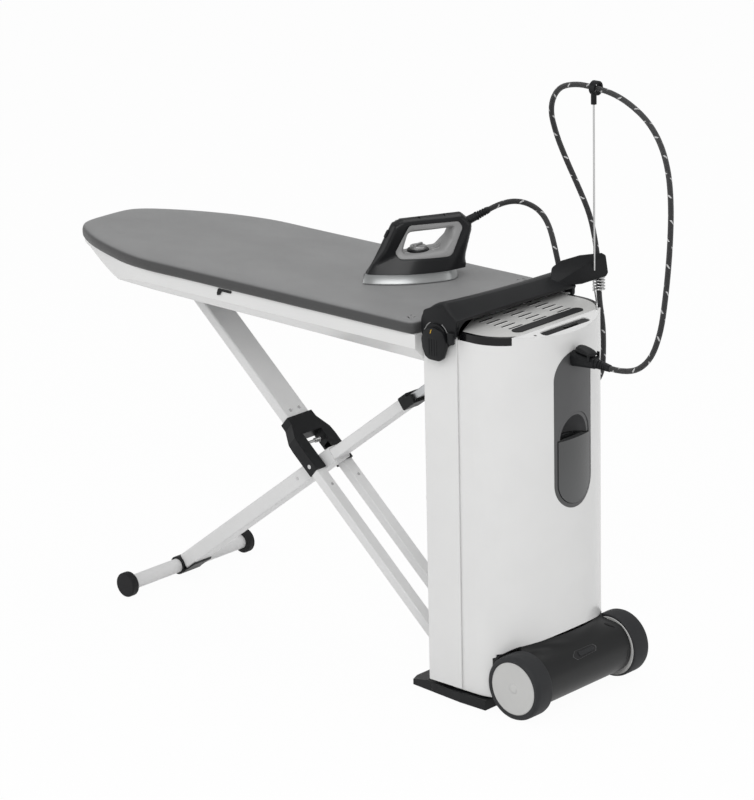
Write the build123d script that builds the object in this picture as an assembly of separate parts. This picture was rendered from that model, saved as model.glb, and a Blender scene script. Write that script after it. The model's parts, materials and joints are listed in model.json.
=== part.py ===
from build123d import *
import math
import os

# steam ironing system: a wheeled steam column that carries a height adjustable ironing board
# own frame in mm: Z up, floor at Z = 0, X runs from the board's nose (-X) to the column's
# outer end (+X), Y = 0 is the middle plane, X = 0 is the seam between profile and housing

# column housing
COL_HALF = 180.0          # half width of the housing across Y
COL_END = 165.0           # outer end of the housing
COL_END_R = 234.0         # radius of the outer end in plan
COL_CORNER_R = 102.0      # radius of its two corners
COL_BOTTOM = 30.0
COL_TOP = 828.0
WALL = 3.0
COL_IN = -27.0            # the housing reaches this far into the lifting channel
WIDE = 300.0              # cutting boxes reach past both sides of everything
SEAM_X = 115.6            # end cap region begins here
RIM_H = 17.0              # height of the black rim strip
RIM_W = 9.0
FIT = 0.15                # gap between fixed parts that drop into each other
RUN = 0.06                # radial clearance of a turning pin
SLIDE = 0.4               # gap at each side of a sliding part

# top of the column: rest plate, control dish, foot hole of the hose holder
SLOT_ROWS = 5
SLOT_X = -11.0
SLOT_PITCH = 20.3
SLOT_GROUP = 78.0
SLOT_L = 43.0
SLOT_W = 5.0
BAR_X = 91.5
BAR_L = 218.0
BAR_W = 26.0
CTRL_X = 139.0            # middle of the oval control dish on the end cap
CTRL_HALF = 75.0
CTRL_W = 19.0
BUTTON_Y = 18.0
BUTTON_L = 42.5
BUTTON_W = 8.5
LAMP_X = 135.0
LAMP_Y = -92.0
PIN_X = 121.5
PIN_Y = 125.5

# lifting channel, its cap with the hose arm, and the lock knob
PROF_X0 = -95.0
PROF_HALF = COL_HALF + 4.0
PROF_BOTTOM = 33.0
CAP_BASE = COL_TOP + 10.0
CAP_TOP = CAP_BASE + 51.0
LUG_BOTTOM = CAP_BASE - 52.0
LUG_W = 10.0
CAP_HALF = PROF_HALF + LUG_W
ARM_X = 17.0
ARM_Z = CAP_TOP + 16.0
ARM_T = 7.0
ARM_LEAN = 26.0
ARM_TURN = 16.0
KNOB_X = -47.0
KNOB_Z = COL_TOP - 17.0
KNOB_R = 30.0

# guide posts inside the channel and the shoes that run on them
POST_X0 = -74.0
POST_X1 = -46.0
POST_IN = 104.0
POST_OUT = 136.0
SHOE_LOW = 400.0
SHOE_HIGH = 500.0

# ironing board
NOSE_X = -1245.0
NOSE_HALF = 80.0
BOARD_HALF = 214.0
BOARD_TOP = COL_TOP + 9.0
PAD_H = 27.0
BOARD_END = -95.4
TRAY_INSET = 7.0
TRAY_WALL = 4.0
DECK = 5.0
TRAY_LOW = BOARD_TOP - 94.0   # underside of the tray at the column
TRAY_RISE = 0.019         # the underside rises towards the nose by this slope
TRACK_IN = 43.0
TRACK_GAP = 26.0
TRACK_END = 15.0
TRACK_X0 = -1012.0
TRACK_X1 = -735.0

# folding legs, all pivots in the XZ plane
HINGE_X = -150.0
HINGE_Z = 25.0
YOKE_X = -555.9
YOKE_Z = 380.5
FOOT_X = -1022.0
FOOT_Z = 29.0
ANCHOR_X = -50.0
LEG_TOP_Z = TRAY_LOW + 2.0
LEG_A_W = 70.0
LEG_A_T = 25.0
LOW_W = 29.0
LOW_T = 23.0
LOW_GAP = 58.0            # free width between the two lower tubes
LEG_B_W = 50.0
LEG_B_T = 36.0
MID_T = 25.0
IN_W = 36.0
IN_T = 16.0
TUBE_WALL = 2.0
PIVOT_R = 5.0
EYE_R = 18.5
EYE_HOLE = 12.0
SPRING_R = 4.7            # mean radius of the lock spring
SPRING_WIRE = 1.0
SPRING_PIN = 3.4
RISE_A = math.atan2(YOKE_Z - HINGE_Z, HINGE_X - YOKE_X)
RISE_B = math.atan2(YOKE_Z - FOOT_Z, YOKE_X - FOOT_X)
LEN_A1 = math.hypot(HINGE_X - YOKE_X, YOKE_Z - HINGE_Z)
LEN_A = (LEG_TOP_Z - HINGE_Z) / math.sin(RISE_A)
LEN_B1 = math.hypot(YOKE_X - FOOT_X, YOKE_Z - FOOT_Z)
LEN_B = (ANCHOR_X - FOOT_X) / math.cos(RISE_B)
ANCHOR_Z = FOOT_Z + (ANCHOR_X - FOOT_X) * math.tan(RISE_B)
YOKE_LOW = LEN_A1 + 20
SPRING_AT = LEN_A1 + 56
YOKE_TOP = LEN_A1 + 124

# wheels
WHEEL_X = 145.0
WHEEL_Z = 71.0
WHEEL_R = 71.0
WHEEL_OUT = 187.0
WHEEL_W = 50.0
AXLE_R = 6.0
HUB_R = 57.9
DRUM_R = 61.0
SADDLE_SIDE = 118.0       # height of the axle housing's seam at the sides
SADDLE_MID = 161.0        # and in the middle of the outer end
BASE_HALF = COL_HALF + 11.0

# crossbar foot
BAR_R = 16.5
FOOT_R = 29.0
FOOT_OUT = 201.0
FOOT_W = 20.0

# oval panel and water tank on the outer end
PANEL_HALF = 60.0
PANEL_LOW = 432.0
PANEL_HIGH = 778.0
WIN_HALF = 51.0
WIN_LOW = 441.0
WIN_HIGH = 642.0
TANK_HIGH = 586.0
BAY_X = 32.0
PLUG_Z = 762.0
PLUG_TIP = 222.0
PLUG_END = (259.0, 0.0, 755.0)
LEVER_X = 214.0
LEVER_Z = PLUG_Z + 14.6

# steam hose and its holder
HOSE_D = 12.0
ROD_R = 2.2
ROD_X = 24.0
ROD_Y = COL_HALF + 56.0
ROD_TOP = 1256.0
COIL_X = 20.0
COIL_Y = ROD_Y + 20.0
COIL_Z = COL_TOP - 6.0
COIL_PITCH = 6.6
COIL_TURNS = 5.0
COIL_MEAN = 12.2
COIL_WIRE = 1.7
COIL_START = 221.7        # where round the hose the wire meets the coil, in degrees
RING_Y = ROD_Y + 7.0
RING_Z = ROD_TOP + 14.0
RING_R = 11.5
RING_WALL = 4.0

# iron
IRON_X = -377.0
IRON_Y = -62.0
IRON_TURN = 60.0          # the iron's long axis, from its tip, is turned this far from +X to +Y
IRON_Z = BOARD_TOP + 0.4
SOLE_TOP = 22.1           # top of the sole's skirt
SOLE_L = 214.0
SOLE_SIDE = [(38, 26), (94, 46.5), (156, 50)]     # along from the tip, half width
HANDLE_HALF = 20.0
DIAL_AT = 127.0
DECK_UP = 77.0            # deck that the dial turns on, above the board
SLEEVE_FROM = 246.0
SLEEVE_TO = 290.0
IRON_SHAPE = [(9, 22.1), (41, 78), (70, 135), (88, 139), (224, 140.5), (249, 116), (247, 98), (224, 22.1)]
IRON_FRAME = [(103, 124), (215, 124), (223, 109), (192, 51), (77, 52), (69, 67)]
IRON_GRIP = [(104, 107), (190, 109), (180, 88), (150, 77), (84, 77)]

# run of the steam hose and of the iron's hose, corner points
HOSE_START = (259.4, 0, 755)
CLIP_AT = (-48, CAP_HALF + 12, 866)
STEAM_HOSE = [HOSE_START, (311, 0, 753), (358, 8, 787), (374, 22, 848), (369, 43, 912), (357, 69, 975),
              (340, 97, 1036), (318, 126, 1094), (286, 158, 1147), (240, 191, 1192), (184, 217, 1228),
              (121, 233, RING_Z - 17), (70, 240, RING_Z - 4), (20, 243, RING_Z), (-32, 246, RING_Z + 1),
              (-86, 249, RING_Z - 15), (-113, 254, 1205), (-98, 258, 1147), (-74, 261, 1097),
              (-43, 264, 1041), (-14, 268, 983), (2, 267, 926), (COIL_X, COIL_Y, 870), (COIL_X, COIL_Y, 806),
              (27, 261, 748), (27, 263, 690), (27, 258, 629), (-14, 250, 588), (-72, 240, 588),
              (-113, 234, 630), (-111, 229, 692), (-80, 217, 747), (-40, 206, 803), CLIP_AT]
IRON_HOSE = [(-49, 207, 868.5), (-66, 215, 905), (-108.4, 244.6, 949.2), (-146.9, 255.3, 976.2),
             (-186.7, 241.2, 991.1)]
HOSE_OFF = 30.5           # the hose leaves the iron straight for this far


def box(x0, x1, y0, y1, z0, z1):
    size = (x1 - x0, y1 - y0, z1 - z0)
    mid = ((x0 + x1) / 2, (y0 + y1) / 2, (z0 + z1) / 2)
    return Pos(*mid) * Box(*size)


def rod(p, q, r):
    d = Vector(*q) - Vector(*p)
    plane = Plane(origin=p, z_dir=d)
    return plane * Cylinder(r, d.length, align=(Align.CENTER, Align.CENTER, Align.MIN))


def ycyl(x, z, r, y0, y1):
    return rod((x, y0, z), (x, y1, z), r)


def far_side(shape):
    return mirror(shape, about=Plane.XZ)


def prism_y(points, y0, y1):
    # points are (x, z), the solid runs along Y
    pts = [(p[0], y0, p[1]) for p in points]
    face = Face(Wire(Polyline(*pts, close=True).edges()))
    return Solid.extrude(face, Vector(0, y1 - y0, 0))


def stadium_x(half, z0, z1, x0, x1):
    # upright oval across Y, running along X
    mid = (z0 + z1) / 2
    plane = Plane(origin=(x0, 0, mid), x_dir=(0, 1, 0), z_dir=(1, 0, 0))
    return extrude(plane * SlotOverall(z1 - z0, 2 * half, rotation=90), x1 - x0)


def outline(inset, x0=COL_IN):
    # plan of the column housing, drawn smaller by inset: flat sides, round corners, a flatter end
    swing = math.asin((COL_HALF - COL_CORNER_R) / (COL_END_R - COL_CORNER_R))
    end_x = COL_END - COL_END_R
    corner_x = end_x + (COL_END_R - COL_CORNER_R) * math.cos(swing)
    corner_y = COL_HALF - COL_CORNER_R
    b = COL_HALF - inset

    def at_corner(angle):
        r = COL_CORNER_R - inset
        return corner_x + r * math.cos(angle), corner_y + r * math.sin(angle)

    tip = (COL_END - inset, 0)
    far = at_corner(swing)
    mid = at_corner((swing + math.pi / 2) / 2)
    end = ThreePointArc((far[0], -far[1]), tip, far)
    turn = ThreePointArc(far, mid, (corner_x, b))
    other = ThreePointArc((corner_x, -b), (mid[0], -mid[1]), (far[0], -far[1]))
    rest = Polyline((corner_x, b), (x0, b), (x0, -b), (corner_x, -b))
    return make_face(Wire(other.edges() + end.edges() + turn.edges() + rest.edges()))


def column(inset, z0, z1, x0=COL_IN):
    return Pos(0, 0, z0) * extrude(outline(inset, x0), z1 - z0)


def saddle_cut():
    # everything of the housing's outer end that the axle housing takes the place of
    b = COL_HALF + 10
    low = SADDLE_SIDE
    arc = ThreePointArc((COL_END, -b, low), (COL_END, 0, SADDLE_MID), (COL_END, b, low))
    rest = Polyline((COL_END, b, low), (COL_END, b, 0), (COL_END, -b, 0), (COL_END, -b, low))
    face = Face(Wire(arc.edges() + rest.edges()))
    return Pos(10, 0, 0) * Solid.extrude(face, Vector(-COL_END + 74, 0, 0))


def wheel_wells(r):
    near = ycyl(WHEEL_X, WHEEL_Z, r, -WHEEL_OUT - 5, -WHEEL_OUT + WHEEL_W + 3)
    far = mirror(near, about=Plane.XZ)
    return near, far


def end_cap_slope(drop):
    # everything above the sloping top of the end cap, drop below its surface
    return prism_y([(SEAM_X + 4, COL_TOP + 0.1 - drop), (COL_END + 5, COL_TOP - 11 - drop),
                    (COL_END + 5, COL_TOP + 5), (SEAM_X + 4, COL_TOP + 5)], -WIDE, WIDE)


def column_housing():
    shell = column(0, COL_BOTTOM, COL_TOP) - end_cap_slope(0)
    shell = shell - column(WALL, COL_BOTTOM - 1, COL_TOP - RIM_H - 6, COL_IN + WALL)
    attic = column(WALL, COL_TOP - RIM_H - 7, COL_TOP + 1)
    attic = attic & box(SEAM_X + WALL, COL_END + 5, -WIDE, WIDE, COL_TOP - 100, COL_TOP + 2)
    attic = attic - end_cap_slope(5)
    shell = shell - attic
    shell = shell - box(COL_IN - 1, SEAM_X, -WIDE, WIDE, COL_TOP - RIM_H, COL_TOP + 1)
    shell = shell - saddle_cut()
    near, far = wheel_wells(WHEEL_R + 3)
    shell = shell - near - far
    shell = shell - stadium_x(PANEL_HALF + FIT, PANEL_LOW - FIT, PANEL_HIGH + FIT, COL_END - 65, COL_END + 5)
    shell = shell - oval_top(CTRL_HALF + FIT, CTRL_W + 2 * FIT, COL_TOP - 38, COL_TOP + 12)
    shell = shell - Pos(LAMP_X, LAMP_Y, COL_TOP - 28) * Cylinder(3.1, 80)
    shell = shell - Pos(PIN_X, PIN_Y, COL_TOP - 28) * Cylinder(ROD_R + 0.1, 80)
    return shell


def oval_top(half, width, z0, z1):
    plane = Plane(origin=(CTRL_X, 0, z0))
    return extrude(plane * SlotOverall(2 * half, width, rotation=90), z1 - z0)


def control_recess():
    # sloped glossy dish that the control strip sits in
    body = oval_top(CTRL_HALF, CTRL_W, COL_TOP - 24, COL_TOP + 4)
    cut = prism_y([(CTRL_X - 40, COL_TOP + 2.5), (CTRL_X + 40, COL_TOP - 16), (CTRL_X + 40, COL_TOP + 20),
                   (CTRL_X - 40, COL_TOP + 20)], -WIDE, WIDE)
    well = extrude(SlotOverall(BUTTON_L + 0.1, BUTTON_W + 0.1, rotation=90), 30)
    return body - cut - Pos(CTRL_X, BUTTON_Y, COL_TOP - 13) * well


def control_button():
    return Pos(CTRL_X, BUTTON_Y, COL_TOP - 10) * extrude(SlotOverall(BUTTON_L, BUTTON_W, rotation=90), 5)


def status_lamp():
    return rod((LAMP_X, LAMP_Y, COL_TOP - 12), (LAMP_X, LAMP_Y, COL_TOP - 3), 3.0)


def top_rim():
    z0 = COL_TOP - RIM_H + 0.2
    body = column(0, z0, COL_TOP) - column(RIM_W, z0 - 1, COL_TOP + 1, -5)
    seat = column(1, z0, COL_TOP - 7) - column(RIM_W + 12, z0 - 1, COL_TOP, -5)
    body = body + seat
    return body & box(0.5, SEAM_X - FIT, -WIDE, WIDE, z0, COL_TOP)


def iron_rest_plate():
    plate = column(RIM_W + FIT, COL_TOP - 6.8, COL_TOP, COL_IN + 2)
    plate = plate & box(COL_IN, SEAM_X - FIT, -WIDE, WIDE, COL_TOP - 10, COL_TOP)
    slot = extrude(SlotOverall(SLOT_L, SLOT_W, rotation=90), 12)
    for row in range(SLOT_ROWS):
        for group in (-1, 0, 1):
            plate = plate - Pos(SLOT_X + SLOT_PITCH * row, SLOT_GROUP * group, COL_TOP - 10) * slot
    groove = extrude(SlotOverall(BAR_L, BAR_W, rotation=90), 6)
    return plate - Pos(BAR_X, 0, COL_TOP - 4) * groove


def rest_bar():
    return Pos(BAR_X, 0, COL_TOP - 3.9) * extrude(SlotOverall(BAR_L - 0.2, BAR_W - 0.2, rotation=90), 5.5)


def oval_panel():
    low = PANEL_LOW - 20
    high = PANEL_HIGH + 20
    band = column(0.6, low, high) - column(6, low - 1, high + 1, -5)
    body = band & stadium_x(PANEL_HALF, PANEL_LOW, PANEL_HIGH, COL_END - 65, COL_END + 5)
    body = body - stadium_x(WIN_HALF, WIN_LOW, WIN_HIGH, COL_END - 65, COL_END + 5)
    return body - rod((COL_END - 15, 0, PLUG_Z), (COL_END + 5, 0, PLUG_Z), 15.4)


def finger_scoop():
    # hollow above the tank that the fingers reach into
    win = stadium_x(WIN_HALF - FIT, WIN_LOW + FIT, WIN_HIGH - FIT, COL_END - 65, COL_END + 5)
    body = win & box(COL_END - 47, COL_END + 5, -WIN_HALF, WIN_HALF, TANK_HIGH + 1, WIN_HIGH)
    body = body & column(2.2, TANK_HIGH, WIN_HIGH)
    dish = Pos(COL_END + 5, 0, TANK_HIGH - 2) * scale(Sphere(48), (0.92, 0.93, 1.08))
    return body - dish


def water_tank():
    # front shell, long body behind it, water space and a finger lip along the top
    x0 = COL_END - 47
    front = stadium_x(WIN_HALF - 1.0, WIN_LOW + 1.0, WIN_HIGH, x0, COL_END + 10)
    front = front & box(x0, COL_END + 10, -WIN_HALF, WIN_HALF, WIN_LOW, TANK_HIGH)
    front = front & column(-1.5, WIN_LOW, TANK_HIGH)
    long = stadium_x(WIN_HALF - 5.5, WIN_LOW + 5.5, WIN_HIGH, BAY_X + 6, x0 + 2)
    body = front + (long & box(BAY_X + 6, x0 + 2, -WIN_HALF, WIN_HALF, WIN_LOW, TANK_HIGH - 4))
    inner = stadium_x(WIN_HALF - 8.5, WIN_LOW + 8.5, WIN_HIGH, BAY_X + 9, COL_END - 15)
    inner = inner & box(BAY_X + 9, COL_END - 15, -WIN_HALF, WIN_HALF, WIN_LOW, TANK_HIGH - 8)
    inner = inner & column(8, WIN_LOW, TANK_HIGH)
    lip = box(x0 + 16, x0 + 34, -34, 34, TANK_HIGH - 20, TANK_HIGH + 1)
    return body - inner - lip


def tank_bay():
    # open sleeve behind the oval panel that the tank runs in
    bay = box(BAY_X, COL_END, -52, 52, WIN_LOW, TANK_HIGH + 4)
    bay = bay - box(BAY_X + 3, COL_END, -47.5, 47.5, WIN_LOW + 4.5, TANK_HIGH - 1)
    bay = bay - stadium_x(WIN_HALF, WIN_LOW + 0.5, WIN_HIGH, COL_END - 49, COL_END + 5)
    return bay & column(6.05, WIN_LOW - 5, TANK_HIGH + 5)


def steam_plug():
    body = rod((COL_END - 14.5, 0, PLUG_Z), (COL_END + 3, 0, PLUG_Z), 15)
    return body + loft([plug_section(COL_END + 2, 0, 36, 34, 10), plug_section(PLUG_TIP - 26, 1, 32, 28, 10),
                        plug_section(PLUG_TIP, 3, 24, 22, 8)])


def plug_section(x, drop, wide, high, r):
    plane = Plane(origin=(x, 0, PLUG_Z - drop), x_dir=(0, 1, 0), z_dir=(1, 0, 0))
    return plane * RectangleRounded(wide, high, r)


def plug_lever():
    # curved release lever over the plug, hinged at its outer end
    pts = [(172, PLUG_Z + 18), (176, PLUG_Z + 29), (190, PLUG_Z + 31), (206, PLUG_Z + 26),
           (218, PLUG_Z + 14), (212, PLUG_Z + 12.5), (200, PLUG_Z + 16)]
    body = prism_y(pts, -15, 15)
    body = fillet(body.edges().filter_by(Axis.Y).sort_by(Axis.Z)[-3:], 3)
    hub = ycyl(LEVER_X, LEVER_Z, 3.6, -15, 15)
    ear = ycyl(LEVER_X, LEVER_Z, 1.5 + RUN, -16, 16)
    return body + hub - ear


def lever_pin():
    pin = ycyl(LEVER_X, LEVER_Z, 1.5, -18, 18)
    ears = box(LEVER_X - 3, LEVER_X + 3, 15.3, 17.8, PLUG_Z + 6, LEVER_Z + 3)
    foot = box(LEVER_X - 3, LEVER_X + 3, 11.5, 17.8, PLUG_Z + 3, PLUG_Z + 8)
    side = ears + foot
    return pin + side + far_side(side)


def plug_sleeve():
    # ringed sleeve that keeps the hose from kinking at the plug
    plane_a = Plane(origin=(PLUG_TIP - 1, 0, PLUG_Z - 3), x_dir=(0, 1, 0), z_dir=(1, 0, -0.07))
    plane_b = Plane(origin=PLUG_END, x_dir=(0, 1, 0), z_dir=(1, 0, -0.07))
    body = loft([plane_a * Circle(10.5), plane_b * Circle(7.6)])
    for i in range(4):
        x = PLUG_TIP + 8 + 6 * i
        groove = rod((x, 0, PLUG_Z - 3.6), (x + 2, 0, PLUG_Z - 3.7), 14)
        body = body - (groove - rod((x - 1, 0, PLUG_Z - 3.6), (x + 3, 0, PLUG_Z - 3.7), 7.2))
    return body


def foot_plate():
    # shallow plate under the column, bevelled towards the legs, on three floor pads
    b = BASE_HALF
    x0 = HINGE_X - 10
    plan = Polyline((x0, -b + 41), (x0 + 14, -b + 13), (0, -b), (WHEEL_X - 73.5, -b), (WHEEL_X - 73.5, b),
                    (0, b), (x0 + 14, b - 13), (x0, b - 41), close=True)
    base = Pos(0, 0, 4) * extrude(make_face(plan), 22)
    slope = [(x0 - 10, 11), (PROF_X0 - 6, 26.5), (PROF_X0 - 6, 60), (x0 - 10, 60)]
    base = base - prism_y(slope, -WIDE, WIDE)
    tongue = box(WHEEL_X - 74, WHEEL_X - 15, -120, 120, 8, 26)
    seat = box(POST_X0 - 8, POST_X1 + 8, -POST_OUT - 8, -POST_IN + 8, 20, PROF_BOTTOM + 1)
    pocket = box(HINGE_X - 25, HINGE_X + 28, -64, 64, 12, 60)
    under = box(PROF_X0 + 5, WHEEL_X - 83, -b + 8, b - 8, 3, 21) - box(-19, 19, -64, 64, 0, 30)
    pads = box(-15, 15, -60, 60, 0, 5)
    for y in (-150, 150):
        pads = pads + Pos(HINGE_X + 16, y, 2.5) * Cylinder(12, 5)
    return base - under + tongue + seat + far_side(seat) + pads - pocket


def hinge_ears():
    pts = [(HINGE_X - 15, 12.02), (HINGE_X + 26, 12.02), (HINGE_X + 26, 24), (HINGE_X + 8, HINGE_Z + 15),
           (HINGE_X - 8, HINGE_Z + 15), (HINGE_X - 15, HINGE_Z + 6)]
    near = prism_y(pts, -63.5, -60.6)
    foot = box(HINGE_X + 14, HINGE_X + 27.5, -63.5, 63.5, 12.05, 16)
    body = near + mirror(near, about=Plane.XZ) + foot
    return body + ycyl(HINGE_X, HINGE_Z, PIVOT_R, -70, 70)


def guide_post():
    top = COL_TOP - 16
    post = box(POST_X0, POST_X1, -POST_OUT, -POST_IN, PROF_BOTTOM + 1.1, top)
    return post - box(POST_X0 + 3, POST_X1 - 3, -POST_OUT + 3, -POST_IN - 3, PROF_BOTTOM, top + 1)


def lift_channel():
    # open channel that carries the board and slides up along the housing
    outer = box(PROF_X0, -SLIDE, -PROF_HALF, PROF_HALF, PROF_BOTTOM, CAP_BASE - 8)
    outer = fillet(outer.edges().filter_by(Axis.Z).sort_by(Axis.X)[:2], 5)
    body = outer - box(PROF_X0 + WALL, 5, -PROF_HALF + WALL, PROF_HALF - WALL, 0, 1000)
    body = body - box(PROF_X0 - 5, PROF_X0 + 10, -30, 30, LEG_TOP_Z - 73, LEG_TOP_Z + 7)
    shoe = guide_shoe()
    return body + shoe + mirror(shoe, about=Plane.XZ)


def guide_shoe():
    # block behind the channel's wall that runs on one of the two fixed posts
    gap = 0.08
    y0 = -POST_OUT - 10
    shoe = box(PROF_X0 + 1, COL_IN - 2, y0, -POST_IN + 10, SHOE_LOW, SHOE_HIGH)
    shoe = shoe - box(POST_X0 - gap, POST_X1 + gap, -POST_OUT - gap, -POST_IN + gap,
                      SHOE_LOW - 9, SHOE_HIGH + 9)
    mid = (SHOE_LOW + SHOE_HIGH) / 2
    return shoe + box(PROF_X0 + 1, COL_IN - 2, -PROF_HALF + 1, y0 + 1, mid - 10, mid - 2)


def cap_rail():
    # long black cap over the end of the board, hollow underneath, with a lug down each side
    out = CAP_HALF
    foot = CAP_BASE - 7.8
    hump = prism_y([(PROF_X0, foot), (PROF_X0, CAP_TOP - 27), (PROF_X0 + 7, CAP_TOP - 13),
                    (PROF_X0 + 21, CAP_TOP - 4), (-50, CAP_TOP), (-34, CAP_TOP), (-26, CAP_TOP - 4),
                    (9, CAP_BASE + 8), (9, CAP_BASE + 4), (3, CAP_BASE + 2), (-20, CAP_BASE + 2),
                    (-20, foot)], -out, out)
    ridge = hump.edges().filter_by(Axis.Y).filter_by(lambda e: e.center().Z > CAP_TOP - 19)
    hump = fillet(ridge, 3)
    ends = hump.edges().filter_by(lambda e: abs(e.center().Y) > out - 0.1 and e.center().Z > CAP_TOP - 39)
    hump = fillet(ends, 3)
    hollow = prism_y([(PROF_X0 + 4, CAP_BASE - 9), (PROF_X0 + 4, CAP_TOP - 29), (PROF_X0 + 12, CAP_TOP - 16),
                      (-50, CAP_TOP - 6), (-38, CAP_TOP - 6), (-31, CAP_TOP - 10), (3, CAP_BASE + 3),
                      (3, CAP_BASE - 9)], -out + 10, out - 10)
    body = hump - hollow + cap_lug(LUG_BOTTOM) + far_side(cap_lug(CAP_BASE - 16)) + hose_arm() + lug_clip()
    return body - ycyl(KNOB_X, KNOB_Z, PIVOT_R + RUN, -out - 1, -out + 7)


def cap_lug(low):
    # flat lug that the cap sends down along one side of the channel
    pts = [(PROF_X0, CAP_BASE + 4), (PROF_X0, CAP_BASE - 18), (PROF_X0 + 8, low), (-24, low),
           (-14, max(low, CAP_BASE - 41)), (6, CAP_BASE - 16), (6, CAP_BASE + 10), (-10, CAP_BASE + 24)]
    if low > CAP_BASE - 18:
        pts = [pts[0], (PROF_X0, low), (6, low), *pts[6:]]
    return prism_y(pts, -CAP_HALF, -PROF_HALF - 0.1)


def arm_plane():
    # the arm is a plate that leans out towards +X at its foot and turns a little to +X along Y
    return Pos(ARM_X, ROD_Y, ARM_Z) * Rot(0, 0, -ARM_TURN) * Rot(0, -ARM_LEAN, 0)


def hose_arm():
    # drawn as (along, down the plate), then stood up in place
    pts = [(-122, -20), (-96, -4), (-80, 0), (20, 0), (33, -1), (39, -7), (38, -40), (33, -45), (-46, -66),
           (-122, -66)]
    face = make_face(Polyline(*[(0, p[0], p[1]) for p in pts], close=True))
    plate = extrude(face, ARM_T, dir=(-1, 0, 0))
    plate = fillet(plate.edges().filter_by(Axis.X).sort_by(Axis.Y)[-5:], 2.5)
    hole = rod((ROD_X, ROD_Y, ARM_Z - 100), (ROD_X, ROD_Y, ARM_Z + 20), ROD_R + 1.0)
    return arm_plane() * plate - hole


def lock_knob():
    # turning grip that locks the board's height
    y = -CAP_HALF
    disc = ycyl(KNOB_X, KNOB_Z, KNOB_R, y - 5, y - 0.5)
    shape = [(-24, 18), (-33, -4), (-29, -24), (-19, -44), (-6, -49), (10, -49), (22, -42), (31, -20),
             (33, -2), (24, 18)]
    grip = prism_y([(KNOB_X + p[0], KNOB_Z + p[1]) for p in shape], y - 13, y - 0.5)
    grip = fillet(grip.edges().filter_by(Axis.Y), 5)
    grip = fillet(grip.faces().sort_by(Axis.Y)[0].edges(), 3)
    return disc + grip + ycyl(KNOB_X, KNOB_Z, PIVOT_R, y - 1, y + 6.5)


def lug_clip():
    # small fixed finger grip beside the knob
    body = box(-11.5, 4.5, -CAP_HALF - 8, -CAP_HALF, CAP_BASE - 34, CAP_BASE - 9)
    return fillet(body.edges().filter_by(Axis.Y), 3)


def board_plan(inset):
    # straight sides that narrow to a blunt nose, drawn smaller by inset
    b = BOARD_HALF - inset
    n = NOSE_X + inset
    grow = BOARD_HALF - NOSE_HALF
    first = NOSE_HALF + 0.276 * grow - 0.9 * inset
    second = NOSE_HALF + 0.731 * grow - inset
    tip = NOSE_HALF - 0.5 * inset
    side = NOSE_X + 345
    far = Spline((n + 2, tip), (NOSE_X + 50 + inset, first), (NOSE_X + 185, second), (side, b),
                 tangents=[(0.55, 0.83), (1, 0)])
    nose = ThreePointArc((n + 2, -tip), (n - 3, 0), (n + 2, tip))
    rest = Polyline((side, -b), (BOARD_END, -b), (BOARD_END, b), (side, b))
    near = mirror(far, about=Plane.XZ)
    face = make_face(Wire(near.edges() + nose.edges() + far.edges() + rest.edges()))
    corners = [v for v in face.vertices() if v.X < n + 10]
    return fillet(corners, 26)


def board_cover():
    z0 = BOARD_TOP - PAD_H
    body = Pos(0, 0, z0) * extrude(board_plan(0), PAD_H)
    body = fillet(body.edges().group_by(Axis.Z)[-1].filter_by(lambda e: e.center().X < BOARD_END - 1), 7)
    body = fillet(body.edges().group_by(Axis.Z)[0].filter_by(lambda e: e.center().X < BOARD_END - 1), 4)
    return body


def tray_block(inset, top):
    # the tray's outside drawn smaller by inset: board plan, sloping underside, cut flanks and nose
    base = TRAY_LOW - 60
    body = Pos(0, 0, base) * extrude(board_plan(TRAY_INSET + inset), top - base)
    low = TRAY_LOW + inset * 0.4

    def under(x):
        return low - TRAY_RISE * (x - BOARD_END)

    past = NOSE_X - 50
    wedge = [(past, base - 90), (0, base - 90), (0, under(0)), (-900, under(-900))]
    wedge += [(-1012, under(-1012) + 5), (-1100, under(-1100) + 18), (-1180, under(-1180) + 31)]
    wedge += [(past, under(past) + 36)]
    body = body - prism_y(wedge, -WIDE, WIDE)
    # sloped lower flanks: the crease runs up towards the nose
    side = BOARD_HALF - TRAY_INSET - inset
    for s in (-1, 1):
        a = Vector(BOARD_END + 20, s * (side + 0.5), under(BOARD_END) + 36)
        b = Vector(NOSE_X - 20, s * (side + 0.5), under(NOSE_X) + 16)
        c = Vector(BOARD_END + 20, s * (side - 60), under(BOARD_END) + 36 - 60)
        d = Vector(NOSE_X - 20, s * (side - 60), under(NOSE_X) + 16 - 60)
        drop = Vector(0, s * 40, -140)
        wedge = Solid.make_loft([Wire(Polyline(a, c, c + drop, a + drop, close=True).edges()),
                                 Wire(Polyline(b, d, d + drop, b + drop, close=True).edges())], True)
        body = body - wedge
    lip = BOARD_TOP - 42 + inset * 0.4
    flank = [(NOSE_X - 30, lip), (NOSE_X + 5, lip), (NOSE_X + 70, lip - 60), (NOSE_X - 30, lip - 60)]
    return body - prism_y(flank, -WIDE, WIDE)


def board_tray():
    top = BOARD_TOP - PAD_H - 0.3
    body = tray_block(0, top)
    end_wall = box(BOARD_END - 8, 0, -WIDE, WIDE, 0, BOARD_TOP)
    hollow = tray_block(TRAY_WALL, top - DECK) - end_wall
    mouth = tray_block(TRAY_WALL + 26, top - DECK - 6)
    return body - hollow - (Pos(0, 0, -16) * mouth - end_wall) + tray_ribs(top)


def tray_ribs(top):
    ribs = None
    for part in (0.13, 0.28, 0.43, 0.84):
        x = BOARD_END + part * (NOSE_X - BOARD_END)
        rib = box(x - 2, x + 2, -150, 150, top - 22, top - DECK + 1)
        ribs = rib if ribs is None else ribs + rib
    return ribs


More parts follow.
